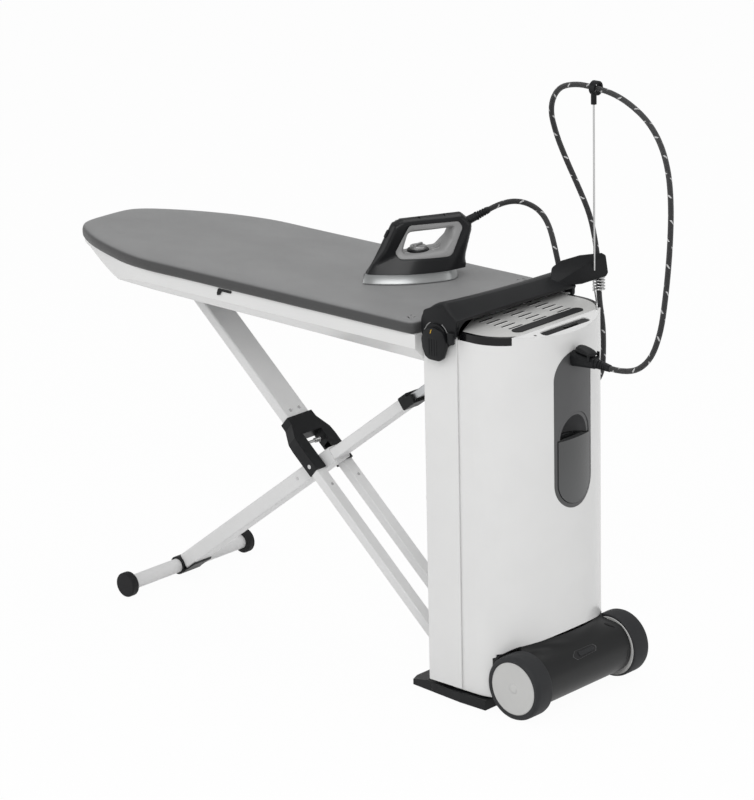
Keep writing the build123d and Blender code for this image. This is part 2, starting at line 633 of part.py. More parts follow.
def slide_track():
    # two facing channels under the board; the roller on the leg's top runs between them
    x0 = TRACK_X0
    x1 = TRACK_X1
    out = TRACK_IN + TRACK_END
    low = LEG_TOP_Z - TRACK_GAP / 2
    high = LEG_TOP_Z + TRACK_GAP / 2
    top = BOARD_TOP - PAD_H - 0.4 - DECK
    far = box(x0, x1, out - 3, out, low - 3, top) + box(x0, x1, TRACK_IN, out, low - 3, low)
    far = far + box(x0, x1, TRACK_IN, out, high, high + 3)
    tie = box(x0, x0 + 14, -out, out, top - 4, top) + box(x1 - 14, x1, -out, out, top - 4, top)
    return far + far_side(far) + tie


def tray_hook():
    y = -(BOARD_HALF - TRAY_INSET)
    low = BOARD_TOP - 45
    pts = [(-675, low + 6), (-671, low + 16), (-633, low + 16), (-633, low + 11), (-661, low + 11),
           (-667, low + 2), (-675, low)]
    return prism_y(pts, y - 3.5, y - 0.1)


def leg_a_frame():
    # local X runs from the base hinge up the leg towards the nose, local Z is the leg's upper side
    d = Vector(-math.cos(RISE_A), 0, math.sin(RISE_A))
    return Plane(origin=(HINGE_X, 0, HINGE_Z), x_dir=d, z_dir=(math.sin(RISE_A), 0, math.cos(RISE_A)))


def leg_b_frame():
    # local X runs from the crossbar foot up the leg towards the column
    d = Vector(math.cos(RISE_B), 0, math.sin(RISE_B))
    return Plane(origin=(FOOT_X, 0, FOOT_Z), x_dir=d, z_dir=(-math.sin(RISE_B), 0, math.cos(RISE_B)))


def tube(x0, x1, y0, y1, t, wall=TUBE_WALL, r=3.0):
    w = y1 - y0
    plane = Plane(origin=(x0, (y0 + y1) / 2, 0), x_dir=(0, 1, 0), z_dir=(1, 0, 0))
    outer = extrude(plane * RectangleRounded(w, t, r), x1 - x0)
    inner = extrude(plane * RectangleRounded(w - 2 * wall, t - 2 * wall, max(r - wall, 0.6)), x1 - x0)
    return outer - inner


def bar(x0, x1, w, t, r=2.0, y=0.0):
    # solid bar along a leg, with rounded long edges
    plane = Plane(origin=(x0, y, 0), x_dir=(0, 1, 0), z_dir=(1, 0, 0))
    return extrude(plane * RectangleRounded(w, t, r), x1 - x0)


def leg_a_upper_tube():
    body = tube(YOKE_TOP - 30, LEN_A - 22, -LEG_A_W / 2, LEG_A_W / 2, LEG_A_T, r=5.0)
    return leg_a_frame().location * body


def leg_a_tip():
    # forked end piece and the slide roller at the very top of the leg
    plug = bar(LEN_A - 46, LEN_A - 14, LEG_A_W - 4.2, LEG_A_T - 4.2, 3.2)
    ear = box(LEN_A - 21.9, LEN_A + 7, -33, -26, -10.2, 10.2)
    ear = fillet(ear.edges().filter_by(Axis.Y).sort_by(Axis.X)[-2:], 7)
    body = plug + ear + mirror(ear, about=Plane.XZ)
    body = body - rod((LEN_A, -40, 0), (LEN_A, 40, 0), 4.02)
    return leg_a_frame().location * body


def leg_a_roller():
    shaft = rod((LEN_A, -TRACK_IN - 11, 0), (LEN_A, TRACK_IN + 11, 0), 4.0)
    for s in (-1, 1):
        shaft = shaft + rod((LEN_A, s * (TRACK_IN - 6), 0), (LEN_A, s * (TRACK_IN + 10.5), 0), 8.0)
    return leg_a_frame().location * shaft


def yoke():
    # black moulding that widens from the upper tube to the two lower tubes
    top = YOKE_TOP
    half_top = LEG_A_W / 2 + 4
    half_low = LOW_GAP / 2 + LOW_W + 1
    wide = LEN_A1 + 62
    plan = Polyline((top, -half_top), (top - 18, -half_top - 1), (wide + 10, -half_low + 2),
                    (wide - 8, -half_low), (YOKE_LOW - 38, -half_low), (YOKE_LOW - 38, half_low),
                    (wide - 8, half_low), (wide + 10, half_low - 2), (top - 18, half_top + 1),
                    (top, half_top), close=True)
    body = Pos(0, 0, -16) * extrude(make_face(plan), 32)
    body = fillet(body.edges().filter_by(lambda e: abs(e.center().Z) > 15.9), 1.5)
    slot = box(YOKE_LOW - 60, LEN_A1 + 74, -LOW_GAP / 2, LOW_GAP / 2, -30, 30)
    body = body - slot
    socket = extrude(Plane(origin=(top - 30.2, 0, 0), x_dir=(0, 1, 0), z_dir=(1, 0, 0))
                     * RectangleRounded(LEG_A_W + 0.2, LEG_A_T + 0.2, 5), 60)
    body = body - socket
    for s in (-1, 1):
        y = s * (LOW_GAP + LOW_W) / 2
        low = extrude(Plane(origin=(YOKE_LOW - 60, y, 0), x_dir=(0, 1, 0), z_dir=(1, 0, 0))
                      * RectangleRounded(LOW_W + 0.2, LOW_T + 0.2, 3), 80.2)
        body = body - low
        body = body - rod((LEN_A1, s * (LOW_GAP / 2 - 5), 0), (LEN_A1, s * (half_low + 5), 0),
                          PIVOT_R + 0.02)
    end = LOW_GAP / 2 + 6.1
    body = body - rod((SPRING_AT, -end, 0), (SPRING_AT, end, 0), SPRING_PIN + 0.02)
    return leg_a_frame().location * body


def lower_tube(side):
    y0 = LOW_GAP / 2 if side > 0 else -LOW_GAP / 2 - LOW_W
    body = tube(16, YOKE_LOW, y0, y0 + LOW_W, LOW_T)
    body = body - rod((LEN_A1, y0 - 5, 0), (LEN_A1, y0 + LOW_W + 5, 0), PIVOT_R + 0.02)
    body = body - rod((0, y0 - 5, 0), (0, y0 + LOW_W + 5, 0), 14.2)
    return leg_a_frame().location * body


def hinge_barrel():
    out = LOW_GAP / 2 + LOW_W + 1.6
    body = rod((0, -out, 0), (0, out, 0), 11.5) - rod((0, -out - 1, 0), (0, out + 1, 0), PIVOT_R + RUN)
    for s in (-1, 1):
        body = body + bar(8, 44, LOW_W - 4.2, LOW_T - 4.2, 1.6, s * (LOW_GAP + LOW_W) / 2)
    body = body - rod((0, -out - 1, 0), (0, out + 1, 0), PIVOT_R + RUN)
    return leg_a_frame().location * body


def leg_a_screws():
    out = []
    for s in (-1, 1):
        y = s * (LOW_GAP + LOW_W) / 2
        out.append(rod((LEN_A1 - 62, y, LOW_T / 2 + 0.02), (LEN_A1 - 62, y, LOW_T / 2 + 1.6), 3.2))
    for y in (-14, 14):
        out.append(rod((YOKE_TOP + 16, y, LEG_A_T / 2 + 0.02), (YOKE_TOP + 16, y, LEG_A_T / 2 + 1.6), 3.6))
    loc = leg_a_frame().location
    return [loc * s for s in out]


def yoke_pin():
    half = LOW_GAP / 2 + LOW_W + 1
    pin = rod((LEN_A1, -half, 0), (LEN_A1, half, 0), PIVOT_R)
    return leg_a_frame().location * pin


def lock_spring():
    # wire torsion spring between the cheeks of the yoke
    path = Helix(pitch=2.8, height=16.8, radius=SPRING_R)
    coil = sweep(Plane(origin=path @ 0, z_dir=path % 0) * Circle(SPRING_WIRE), path)
    coil = Pos(SPRING_AT, -21, 0) * Rot(-90, 0, 0) * coil
    return leg_a_frame().location * coil


def spring_pin():
    end = LOW_GAP / 2 + 6
    return leg_a_frame().location * rod((SPRING_AT, -end, 0), (SPRING_AT, end, 0), SPRING_PIN)


def leg_b_lower_tube():
    body = tube(20, LEN_B1 + 46, -LEG_B_W / 2, LEG_B_W / 2, LEG_B_T, r=4.0)
    hole = rod((LEN_B1, -40, 0), (LEN_B1, 40, 0), PIVOT_R + RUN)
    body = body - hole - rod((0, -40, 0), (0, 40, 0), BAR_R + 2.6)
    return leg_b_frame().location * body


def leg_b_upper_tube():
    x0 = LEN_B1 - 60
    x1 = LEN_B1 + 330
    body = tube(x0, x1, -LEG_B_W / 2 + 2.2, LEG_B_W / 2 - 2.2, MID_T, r=3.0)
    spacer = bar(LEN_B1 + 36, LEN_B1 + 45, LEG_B_W - 4.2, LEG_B_T - 4.2)
    spacer_b = bar(x0, x0 + 9, LEG_B_W - 4.2, LEG_B_T - 4.2)
    way = box(x0 - 1, x1, -LEG_B_W / 2 + 5, LEG_B_W / 2 - 5, -MID_T / 2 + 2, MID_T / 2 - 2)
    ring = spacer + spacer_b - way
    body = body + ring
    hole = rod((LEN_B1, -40, 0), (LEN_B1, 40, 0), PIVOT_R + RUN)
    return leg_b_frame().location * (body - hole)


def leg_b_sleeve():
    x0 = LEN_B1 + 312
    x1 = LEN_B1 + 352
    plane = Plane(origin=(x0, 0, 0), x_dir=(0, 1, 0), z_dir=(1, 0, 0))
    outer = extrude(plane * RectangleRounded(LEG_B_W + 2, MID_T + 5, 4), x1 - x0)
    seat = box(x0 - 1, LEN_B1 + 330.3, -LEG_B_W / 2 + 2.1, LEG_B_W / 2 - 2.1,
               -MID_T / 2 - 0.1, MID_T / 2 + 0.1)
    bore = box(x0 - 1, x1 + 1, -IN_W / 2 - SLIDE, IN_W / 2 + SLIDE, -IN_T / 2 - SLIDE, IN_T / 2 + SLIDE)
    notch = box(x1 - 13, x1 + 1, -40, 40, IN_T / 2 - 2, 40)
    return leg_b_frame().location * (outer - seat - bore - notch)


def leg_b_inner_tube():
    body = tube(LEN_B1 + 150, LEN_B - 30, -IN_W / 2, IN_W / 2, IN_T, wall=1.6, r=2.5)
    shoe = box(LEN_B1 + 150, LEN_B1 + 176, -LEG_B_W / 2 + 4.2 + SLIDE, LEG_B_W / 2 - 4.2 - SLIDE,
               -MID_T / 2 + 2 + SLIDE, MID_T / 2 - 2 - SLIDE)
    shoe = shoe - box(LEN_B1 + 149, LEN_B1 + 177, -IN_W / 2 + 1.6, IN_W / 2 - 1.6,
                      -IN_T / 2 + 1.6, IN_T / 2 - 1.6)
    return leg_b_frame().location * (body + shoe)


def leg_b_eye():
    tongue = box(LEN_B - 60, LEN_B - 12, -IN_W / 2 + 1.8, IN_W / 2 - 1.8, -IN_T / 2 + 1.8, IN_T / 2 - 1.8)
    ring = rod((LEN_B, -13, 0), (LEN_B, 13, 0), EYE_R)
    body = tongue + ring - rod((LEN_B, -20, 0), (LEN_B, 20, 0), EYE_HOLE)
    return leg_b_frame().location * body


def leg_b_anchor():
    # cheeks and pin inside the lifting profile that carry the top of the telescopic leg
    left = PROF_X0 + WALL + 0.1
    top = CAP_BASE - 8.5
    cheek = prism_y([(left, top), (COL_IN - 3, top), (-34, ANCHOR_Z - 14), (-66, ANCHOR_Z - 14),
                     (left, ANCHOR_Z + 6)], 21, 24)
    bridge = box(left, COL_IN - 3, -24, 24, top - 3.3, top)
    pin = ycyl(ANCHOR_X, ANCHOR_Z, PIVOT_R, -27, 27)
    return cheek + mirror(cheek, about=Plane.XZ) + bridge + pin


def leg_b_rivets():
    near = rod((LEN_B1 - 88, -LEG_B_W / 2 - 1.4, 2), (LEN_B1 - 88, -LEG_B_W / 2 - 0.02, 2), 3.6)
    loc = leg_b_frame().location
    return [loc * near, loc * mirror(near, about=Plane.XZ)]


def crossbar():
    bar = ycyl(FOOT_X, FOOT_Z, BAR_R, -FOOT_OUT + 8, FOOT_OUT - 8)
    return bar - ycyl(FOOT_X, FOOT_Z, BAR_R - 2, -FOOT_OUT, FOOT_OUT)


def crossbar_foot(side):
    cap = ycyl(FOOT_X, FOOT_Z, FOOT_R, -FOOT_OUT, -FOOT_OUT + FOOT_W)
    cap = fillet(cap.edges(), 4)
    cap = cap - ycyl(FOOT_X, FOOT_Z, BAR_R + 0.1, -FOOT_OUT + 8 - 0.1, -FOOT_OUT + FOOT_W + 1)
    return cap if side < 0 else mirror(cap, about=Plane.XZ)


def foot_saddle():
    # black bracket that clamps the crossbar to the end of the lower tube
    plug = bar(4, 52, LEG_B_W - 4.2, LEG_B_T - 4.2)
    wrap = rod((0, -31, 0), (0, 31, 0), BAR_R + 5)
    tail = prism_y([(-6, -21), (50, -LEG_B_T / 2 - 4), (56, -LEG_B_T / 2 - 0.2), (18, -LEG_B_T / 2 - 0.2),
                    (0, -8)], -LEG_B_W / 2 - 3, LEG_B_W / 2 + 3)
    body = wrap + plug + tail
    inner = box(19.9, 60, -LEG_B_W / 2 + 6, LEG_B_W / 2 - 6, -LEG_B_T / 2 + 6, LEG_B_T / 2 - 6)
    body = body - rod((0, -50, 0), (0, 50, 0), BAR_R + 0.05) - inner
    shell = bar(19.9, 70, LEG_B_W + 0.2, LEG_B_T + 0.2, 4.1) - bar(19, 71, LEG_B_W - 4.2, LEG_B_T - 4.2)
    return leg_b_frame().location * (body - shell)


def axle_housing():
    drum = ycyl(WHEEL_X, WHEEL_Z + 4, DRUM_R, -WHEEL_OUT + WHEEL_W + 5, WHEEL_OUT - WHEEL_W - 5)
    end = box(76, COL_END + 15, -WIDE, WIDE, 0, SADDLE_MID + 39)
    inside = column(0.2, COL_BOTTOM + 2, SADDLE_MID + 9) & end
    fill = inside & (Pos(0.3, 0, -0.6) * saddle_cut())
    near, far = wheel_wells(WHEEL_R + 3)
    fill = fill - near - far
    fill = fill - box(60, WHEEL_X - 40, -WIDE, WIDE, 0, 27)
    body = drum + fill
    hollow = ycyl(WHEEL_X, WHEEL_Z + 4, DRUM_R - 5, -WHEEL_OUT + WHEEL_W + 11, WHEEL_OUT - WHEEL_W - 11)
    hollow = hollow + (column(5, COL_BOTTOM + 6, 140) & box(89, 200, -110, 110, 30, 140))
    body = body - hollow
    body = body - box(60, WHEEL_X - 13.5, -125, 125, 0, 26.4)
    body = body - ycyl(WHEEL_X, WHEEL_Z, AXLE_R + 0.02, -WIDE, WIDE)
    latch = Pos(WHEEL_X + DRUM_R - 1, 30, 78) * Box(5.8, 44, 12)
    slot = Pos(WHEEL_X + 34, 106, 128) * Rot(0, 45, 0) * Box(10, 10, 34)
    body = body - latch - slot
    return body


def release_latch():
    return Pos(WHEEL_X + DRUM_R - 1.2, 30, 78) * Box(5.2, 36, 8)


def wheel_axle():
    return ycyl(WHEEL_X, WHEEL_Z, AXLE_R, -WHEEL_OUT + 6.5, WHEEL_OUT - 6.5)


def wheel_tyre(side):
    y0 = -WHEEL_OUT
    y1 = -WHEEL_OUT + WHEEL_W
    tyre = ycyl(WHEEL_X, WHEEL_Z, WHEEL_R, y0, y1)
    tyre = fillet(tyre.edges(), 4)
    tyre = tyre - ycyl(WHEEL_X, WHEEL_Z, HUB_R + 0.1, y0 - 1, y1 + 1)
    return tyre if side < 0 else mirror(tyre, about=Plane.XZ)


def wheel_hub(side):
    # capped face, rim, bearing barrel and six ribs behind the cap
    y0 = -WHEEL_OUT
    y1 = -WHEEL_OUT + WHEEL_W
    disc = ycyl(WHEEL_X, WHEEL_Z, HUB_R, y0 + 1.5, y1 + 1.5)
    disc = disc - ycyl(WHEEL_X, WHEEL_Z, HUB_R - 4, y0 + 5.5, y1 + 3)
    disc = disc + ycyl(WHEEL_X, WHEEL_Z, 16, y0 + 4, y1)
    disc = disc + Pos(WHEEL_X, y0 + 2.5, WHEEL_Z) * scale(Sphere(11), (1, 0.42, 1))
    for k in range(6):
        a = math.radians(60 * k + 30)
        plane = Plane(origin=(WHEEL_X, (y0 + y1) / 2 + 1, WHEEL_Z),
                      x_dir=(math.cos(a), 0, math.sin(a)), z_dir=(0, 1, 0))
        disc = disc + plane * Pos(35, 0, 0) * Box(42, 3, WHEEL_W - 8)
    disc = disc - ycyl(WHEEL_X, WHEEL_Z, AXLE_R + RUN, y0 + 6, y1 + 5)
    return disc if side < 0 else mirror(disc, about=Plane.XZ)


def coil_point(turn, z):
    a = math.radians(turn)
    return Vector(COIL_X + COIL_MEAN * math.cos(a), COIL_Y + COIL_MEAN * math.sin(a), z)


def mast_coil():
    # the spring that carries the hose, wound from one wire
    path = Helix(pitch=COIL_PITCH, height=COIL_PITCH * COIL_TURNS, radius=COIL_MEAN, lefthand=True)
    coil = sweep(Plane(origin=path @ 0, z_dir=path % 0) * Circle(COIL_WIRE), path)
    print("coil: least gap between turns", round(COIL_PITCH - 2 * COIL_WIRE, 2))
    return Pos(COIL_X, COIL_Y, COIL_Z) * Rot(0, 0, COIL_START) * coil


def mast_foot():
    # bent wire from the end cap's hole to the foot of the coil
    end = coil_point(COIL_START, COIL_Z)
    high = COL_TOP + 11
    wire = FilletPolyline((PIN_X, PIN_Y, COL_TOP - 14), (PIN_X, PIN_Y, high), (end.X + 12, end.Y - 13, high),
                          (end.X + 2.2, end.Y - 2.4, COIL_Z + 1.0), radius=5)
    return sweep(Plane(origin=wire @ 0, z_dir=wire % 0) * Circle(COIL_WIRE), wire)


def mast_rod():
    top = coil_point(COIL_START, COIL_Z + COIL_PITCH * COIL_TURNS)
    jog = rod((top.X, top.Y, top.Z - 1), (ROD_X, ROD_Y, top.Z + 9), COIL_WIRE)
    up = rod((ROD_X, ROD_Y, top.Z + 7), (ROD_X, ROD_Y, ROD_TOP), ROD_R)
    return jog + up


def mast_ring():
    # the guide that holds the hose at the top of the rod
    ring = rod((ROD_X - 7, RING_Y, RING_Z), (ROD_X + 7, RING_Y, RING_Z), RING_R + RING_WALL)
    stem = rod((ROD_X, ROD_Y, RING_Z - 34), (ROD_X, ROD_Y, RING_Z - 8), 6.2)
    body = ring + stem - rod((ROD_X - 9, RING_Y, RING_Z), (ROD_X + 9, RING_Y, RING_Z), RING_R)
    return body - rod((ROD_X, ROD_Y, RING_Z - 70), (ROD_X, ROD_Y, ROD_TOP + 0.1), ROD_R + 0.05)


def iron_place():
    return Pos(IRON_X, IRON_Y, IRON_Z) * Rot(0, 0, IRON_TURN)


def iron_point(along, across, up):
    a = math.radians(IRON_TURN)
    x = IRON_X + along * math.cos(a) - across * math.sin(a)
    y = IRON_Y + along * math.sin(a) + across * math.cos(a)
    return (x, y, IRON_Z + up)


def hose_solid(points):
    # straight runs joined by arcs that touch them
    pts = [Vector(*p) for p in points]
    radii = []
    for i in range(1, len(pts) - 1):
        a = pts[i] - pts[i - 1]
        b = pts[i + 1] - pts[i]
        turn = math.radians(a.get_angle(b))
        radii.append(0.45 * min(a.length, b.length) / math.tan(turn / 2))
    line = FilletPolyline(*pts, radius=radii)
    solid = sweep(Plane(origin=line @ 0, z_dir=line % 0) * Circle(HOSE_D / 2), line)
    area = math.pi * (HOSE_D / 2) ** 2
    print("hose: radii", [round(r) for r in radii], "length", round(line.length),
          "volume/section", round(solid.volume / area))
    return solid


def hose_clip():
    # open ring on the far end of the cap rail that steadies the hose
    heading = Vector(-0.28, 0.03, 0.96) * 5
    mid = Vector(*CLIP_AT)
    a = mid - heading
    b = mid + heading
    y = CAP_HALF + 0.1
    body = rod(tuple(a), tuple(b), 13.4) + box(mid.X - 9, mid.X + 9, y, y + 5, mid.Z - 5, mid.Z + 5)
    body = body - box(mid.X - 32, mid.X + 28, y - 94, y, mid.Z - 26, mid.Z + 24)
    return body - rod(tuple(mid - heading * 3), tuple(mid + heading * 3), 10.2)


def iron_sleeve():
    a, b = sleeve_line()
    d = b - a
    body = loft([Plane(origin=a, z_dir=d) * Circle(9.5), Plane(origin=b, z_dir=d) * Circle(7.4)])
    for i in range(4):
        p = a + d * (0.42 + 0.12 * i)
        q = a + d * (0.42 + 0.12 * i + 0.045)
        body = body - (rod(tuple(p), tuple(q), 12) - rod(tuple(p), tuple(q), 6.9))
    return iron_place() * body


def sole_plan(inset):
    # pointed plan of the sole, drawn smaller by inset
    w = inset
    heel = SOLE_L - w
    side = [(p[0], p[1] - w) for p in SOLE_SIDE]
    curve = Spline((w + 1, 0), *side, (SOLE_L - 9, 37 - w), (heel, 18), tangents=[(0.2, 1), (0.25, -1)])
    other = mirror(curve, about=Plane.XZ)
    end = Line((heel, 18), (heel, -18))
    return make_face(Wire(curve.edges() + other.edges() + end.edges()))


def iron_sole():
    plate = extrude(sole_plan(0), 5)
    skirt = Pos(0, 0, 4) * extrude(sole_plan(2.5), SOLE_TOP - 4.1)
    body = plate + skirt
    for x in (70, 110, 150):
        for y in (-18, 0, 18):
            body = body - Pos(x, y, 0) * Cylinder(2.2, 7)
    return iron_place() * body


def iron_envelope(inset):
    low = Pos(0, 0, SOLE_TOP) * extrude(sole_plan(4.0 + inset), 57, dir=(0, 0, 1), taper=14)
    return low + box(150, 232, -30 + inset, 30 - inset, SOLE_TOP, DECK_UP + 2)


def sleeve_line():
    # the hose leaves the heel of the handle along this line
    return Vector(SLEEVE_FROM - 3, 0, 116.7), Vector(SLEEVE_TO, 0, 137)


def iron_body():
    side = prism_y(IRON_SHAPE, -80, 80)
    corners = side.edges().filter_by(Axis.Y).filter_by(lambda e: e.center().Z > 90)
    side = fillet(corners, 7)
    handle = side & box(0, 260, -HANDLE_HALF, HANDLE_HALF, 60, 145)
    rims = handle.edges().filter_by(lambda e: abs(e.center().Y) > HANDLE_HALF - 0.1 and e.center().Z > 82)
    handle = fillet(rims, 6)
    body = handle + (side & iron_envelope(0)) - prism_y(IRON_FRAME, -80, 80)
    a, b = sleeve_line()
    return iron_place() * (body - rod(tuple(a), tuple(b), 9.7))


def iron_frame():
    # grey surround of the handle opening with the dial's deck, a thin gap inside the black shell
    ring = prism_y(IRON_FRAME, -80, 80) - prism_y(IRON_GRIP, -90, 90)
    half = HANDLE_HALF - 0.6
    body = ring & (iron_envelope(0.6) + box(0, 260, -half, half, 60, 145))
    top = IRON_FRAME[0][1] - FIT
    low = IRON_FRAME[3][1] + FIT
    body = body.split(Plane(origin=(0, 0, top), z_dir=(0, 0, 1)), keep=Keep.BOTTOM)
    body = body.split(Plane(origin=(0, 0, low), z_dir=(0, 0, -1)), keep=Keep.BOTTOM)
    return iron_place() * body


def upright(x, z0, z1, r):
    return rod((x, 0, z0), (x, 0, z1), r)


def iron_dial_base():
    ring = upright(DIAL_AT, DECK_UP + 0.05, DECK_UP + 4.05, 20)
    return iron_place() * (ring - upright(DIAL_AT, DECK_UP - 5, DECK_UP + 10, 4 + RUN))


def iron_dial():
    top = DECK_UP + 11.2
    body = upright(DIAL_AT, DECK_UP + 4.2, top, 17)
    body = fillet(body.edges().sort_by(Axis.Z)[-1], 2)
    grip = box(DIAL_AT - 15, DIAL_AT + 15, -3.5, 3.5, top - 1.2, top + 2.8)
    return iron_place() * (body + grip + upright(DIAL_AT, DECK_UP + 1, DECK_UP + 5, 4))


def button_line():
    # the button slides square to the nose slope of the handle
    low = Vector(IRON_SHAPE[1][0], 0, IRON_SHAPE[1][1])
    high = Vector(IRON_SHAPE[2][0], 0, IRON_SHAPE[2][1])
    d = (high - low).normalized()
    return low + (high - low) * 0.73, Vector(-d.Z, 0, d.X)


def iron_button():
    p, n = button_line()
    plane = Plane(origin=p - n * 5, x_dir=(0, 1, 0), z_dir=n)
    return iron_place() * extrude(plane * RectangleRounded(20, 13, 3), 8.5)


def button_hole():
    p, n = button_line()
    plane = Plane(origin=p - n * 8.5, x_dir=(0, 1, 0), z_dir=n)
    return iron_place() * extrude(plane * RectangleRounded(20.16, 13.16, 3), 20)


def steam_hose():
    return hose_solid(STEAM_HOSE)


def iron_hose():
    a, b = sleeve_line()
    d = (b - a).normalized()
    ends = [b + d * HOSE_OFF, b + d * 0.3]
    return hose_solid(IRON_HOSE + [iron_point(p.X, 0, p.Z) for p in ends])


PARTS = {
    "column_housing": column_housing,
    "top_rim": top_rim,
    "iron_rest_plate": iron_rest_plate,
    "rest_bar": rest_bar,
    "control_dish": control_recess,
    "control_button": control_button,
    "status_lamp": status_lamp,
    "oval_panel": oval_panel,
    "finger_scoop": finger_scoop,
    "tank_bay": tank_bay,
    "water_tank": water_tank,
    "steam_plug": lambda: steam_plug() + lever_pin() + plug_sleeve(),
    "plug_lever": plug_lever,
    "steam_hose": steam_hose,
    "foot_plate": foot_plate,
    "hinge_ears": hinge_ears,
    "guide_posts": lambda: [guide_post(), far_side(guide_post())],
    "axle_housing": axle_housing,
    "release_latch": release_latch,
    "wheel_axle": wheel_axle,
    "near_tyre": lambda: wheel_tyre(-1),
    "far_tyre": lambda: wheel_tyre(1),
    "near_hub": lambda: wheel_hub(-1),
    "far_hub": lambda: wheel_hub(1),
    "mast_rod": lambda: mast_rod() + mast_foot() + mast_coil(),
    "mast_ring": mast_ring,
    "lift_channel": lift_channel,
    "cap_rail": cap_rail,
    "lock_knob": lock_knob,
    "board_tray": board_tray,
    "board_cover": board_cover,
    "slide_track": slide_track,
    "tray_hook": tray_hook,
    "leg_b_anchor": leg_b_anchor,
    "hose_clip": hose_clip,
    "iron_hose": iron_hose,
    "leg_a_upper_tube": leg_a_upper_tube,
    "leg_a_tip": leg_a_tip,
    "leg_a_roller": leg_a_roller,
    "yoke": yoke,
    "leg_a_lower_tubes": lambda: [lower_tube(-1), lower_tube(1)],
    "hinge_barrel": hinge_barrel,
    "yoke_pins": lambda: [yoke_pin(), spring_pin()],
    "lock_spring": lock_spring,
    "leg_a_screws": leg_a_screws,
    "leg_b_lower_tube": leg_b_lower_tube,
    "leg_b_upper_tube": leg_b_upper_tube,
    "leg_b_sleeve": leg_b_sleeve,
    "leg_b_rivets": leg_b_rivets,
    "leg_b_inner_tube": lambda: leg_b_inner_tube() + leg_b_eye(),
    "crossbar": crossbar,
    "crossbar_feet": lambda: [crossbar_foot(-1), crossbar_foot(1)],
    "foot_saddle": foot_saddle,
    "iron_sole": iron_sole,
    "iron_body": lambda: iron_body() - button_hole(),
    "iron_frame": lambda: iron_frame() - button_hole(),
    "iron_dial_base": iron_dial_base,
    "iron_dial": iron_dial,
    "iron_button": iron_button,
    "iron_sleeve": iron_sleeve,
}


def solids_of(made):
    pieces = made if isinstance(made, list) else [made]
    out = []
    for piece in pieces:
        out.extend(piece.solids())
    return out


os.makedirs("parts", exist_ok=True)
for name, build in PARTS.items():
    solids = solids_of(build())
    shape = solids[0] if len(solids) == 1 else Compound(children=solids)
    export_step(shape, "parts/" + name + ".step")
    print(name, len(solids), "solid(s), volume", round(sum(s.volume for s in solids) / 1000), "cm3")
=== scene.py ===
"""Steam ironing system: looks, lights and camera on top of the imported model."""

import json
import math

import bmesh
import bpy
from mathutils import Matrix, Vector, noise
from mathutils.geometry import delaunay_2d_cdt


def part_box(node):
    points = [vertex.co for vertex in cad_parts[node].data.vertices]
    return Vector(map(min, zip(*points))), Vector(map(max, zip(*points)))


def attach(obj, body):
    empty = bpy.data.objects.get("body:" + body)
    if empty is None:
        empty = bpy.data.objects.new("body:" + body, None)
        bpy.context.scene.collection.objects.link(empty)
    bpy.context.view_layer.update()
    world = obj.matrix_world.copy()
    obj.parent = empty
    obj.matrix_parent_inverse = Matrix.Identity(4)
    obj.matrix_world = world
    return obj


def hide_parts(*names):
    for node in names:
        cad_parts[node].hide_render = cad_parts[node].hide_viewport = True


bl_info = {
    "name": "Steam Ironing System",
    "version": (1, 0, 0),
    "blender": (4, 5, 0),
    "location": "View3D > Sidebar > Ironing",
    "description": "Builds the visible pieces, finishes, lights and camera of a steam ironing system",
    "category": "Object",
}

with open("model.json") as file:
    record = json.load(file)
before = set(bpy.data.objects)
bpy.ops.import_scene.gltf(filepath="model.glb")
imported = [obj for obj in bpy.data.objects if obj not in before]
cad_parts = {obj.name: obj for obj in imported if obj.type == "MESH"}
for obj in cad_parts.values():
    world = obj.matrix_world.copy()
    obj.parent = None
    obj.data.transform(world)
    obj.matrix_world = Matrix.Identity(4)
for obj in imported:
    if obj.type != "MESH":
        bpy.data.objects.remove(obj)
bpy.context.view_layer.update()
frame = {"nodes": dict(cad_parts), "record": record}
NODES = frame["nodes"]

# the photograph's frame and lens, in its own pixels
PHOTO_SIZE = (754, 800)
PHOTO_FOCAL = 3700.0
CAMERA_AT = (4.8685, -5.6637, 3.0419)
CAMERA_AZIMUTH = math.radians(42.93)
CAMERA_ELEVATION = math.radians(17.83)
CAMERA_ROLL = -0.0223880
SENSOR_WIDTH = 36.0

# hose routes, the same control points as the solids follow, in metres
STEAM_ROUTE = [
    (0.2594, 0, 0.755), (0.311, 0, 0.753), (0.358, 0.008, 0.787), (0.374, 0.022, 0.848),
    (0.369, 0.043, 0.912), (0.357, 0.069, 0.975), (0.340, 0.097, 1.036), (0.318, 0.126, 1.094),
    (0.286, 0.158, 1.147), (0.240, 0.191, 1.192), (0.184, 0.217, 1.228), (0.121, 0.233, 1.253),
    (0.070, 0.240, 1.266), (0.020, 0.243, 1.270), (-0.032, 0.246, 1.271), (-0.086, 0.249, 1.255),
    (-0.113, 0.254, 1.205), (-0.098, 0.258, 1.147), (-0.074, 0.261, 1.097), (-0.043, 0.264, 1.041),
    (-0.014, 0.268, 0.983), (0.002, 0.267, 0.926), (0.020, 0.256, 0.870), (0.020, 0.256, 0.806),
    (0.027, 0.261, 0.748), (0.027, 0.263, 0.690), (0.027, 0.258, 0.629), (-0.014, 0.250, 0.588),
    (-0.072, 0.240, 0.588), (-0.113, 0.234, 0.630), (-0.111, 0.229, 0.692), (-0.080, 0.217, 0.747),
    (-0.040, 0.206, 0.803), (-0.048, 0.206, 0.866),
]
IRON_ROUTE = [
    (-0.049, 0.207, 0.8685), (-0.066, 0.215, 0.905), (-0.1084, 0.2446, 0.9492),
    (-0.1469, 0.2553, 0.9762), (-0.1867, 0.2412, 0.9911), (-0.2180, 0.2134, 0.9866),
    (-0.2319, 0.1894, 0.9745),
]
HOSE_D = 0.012

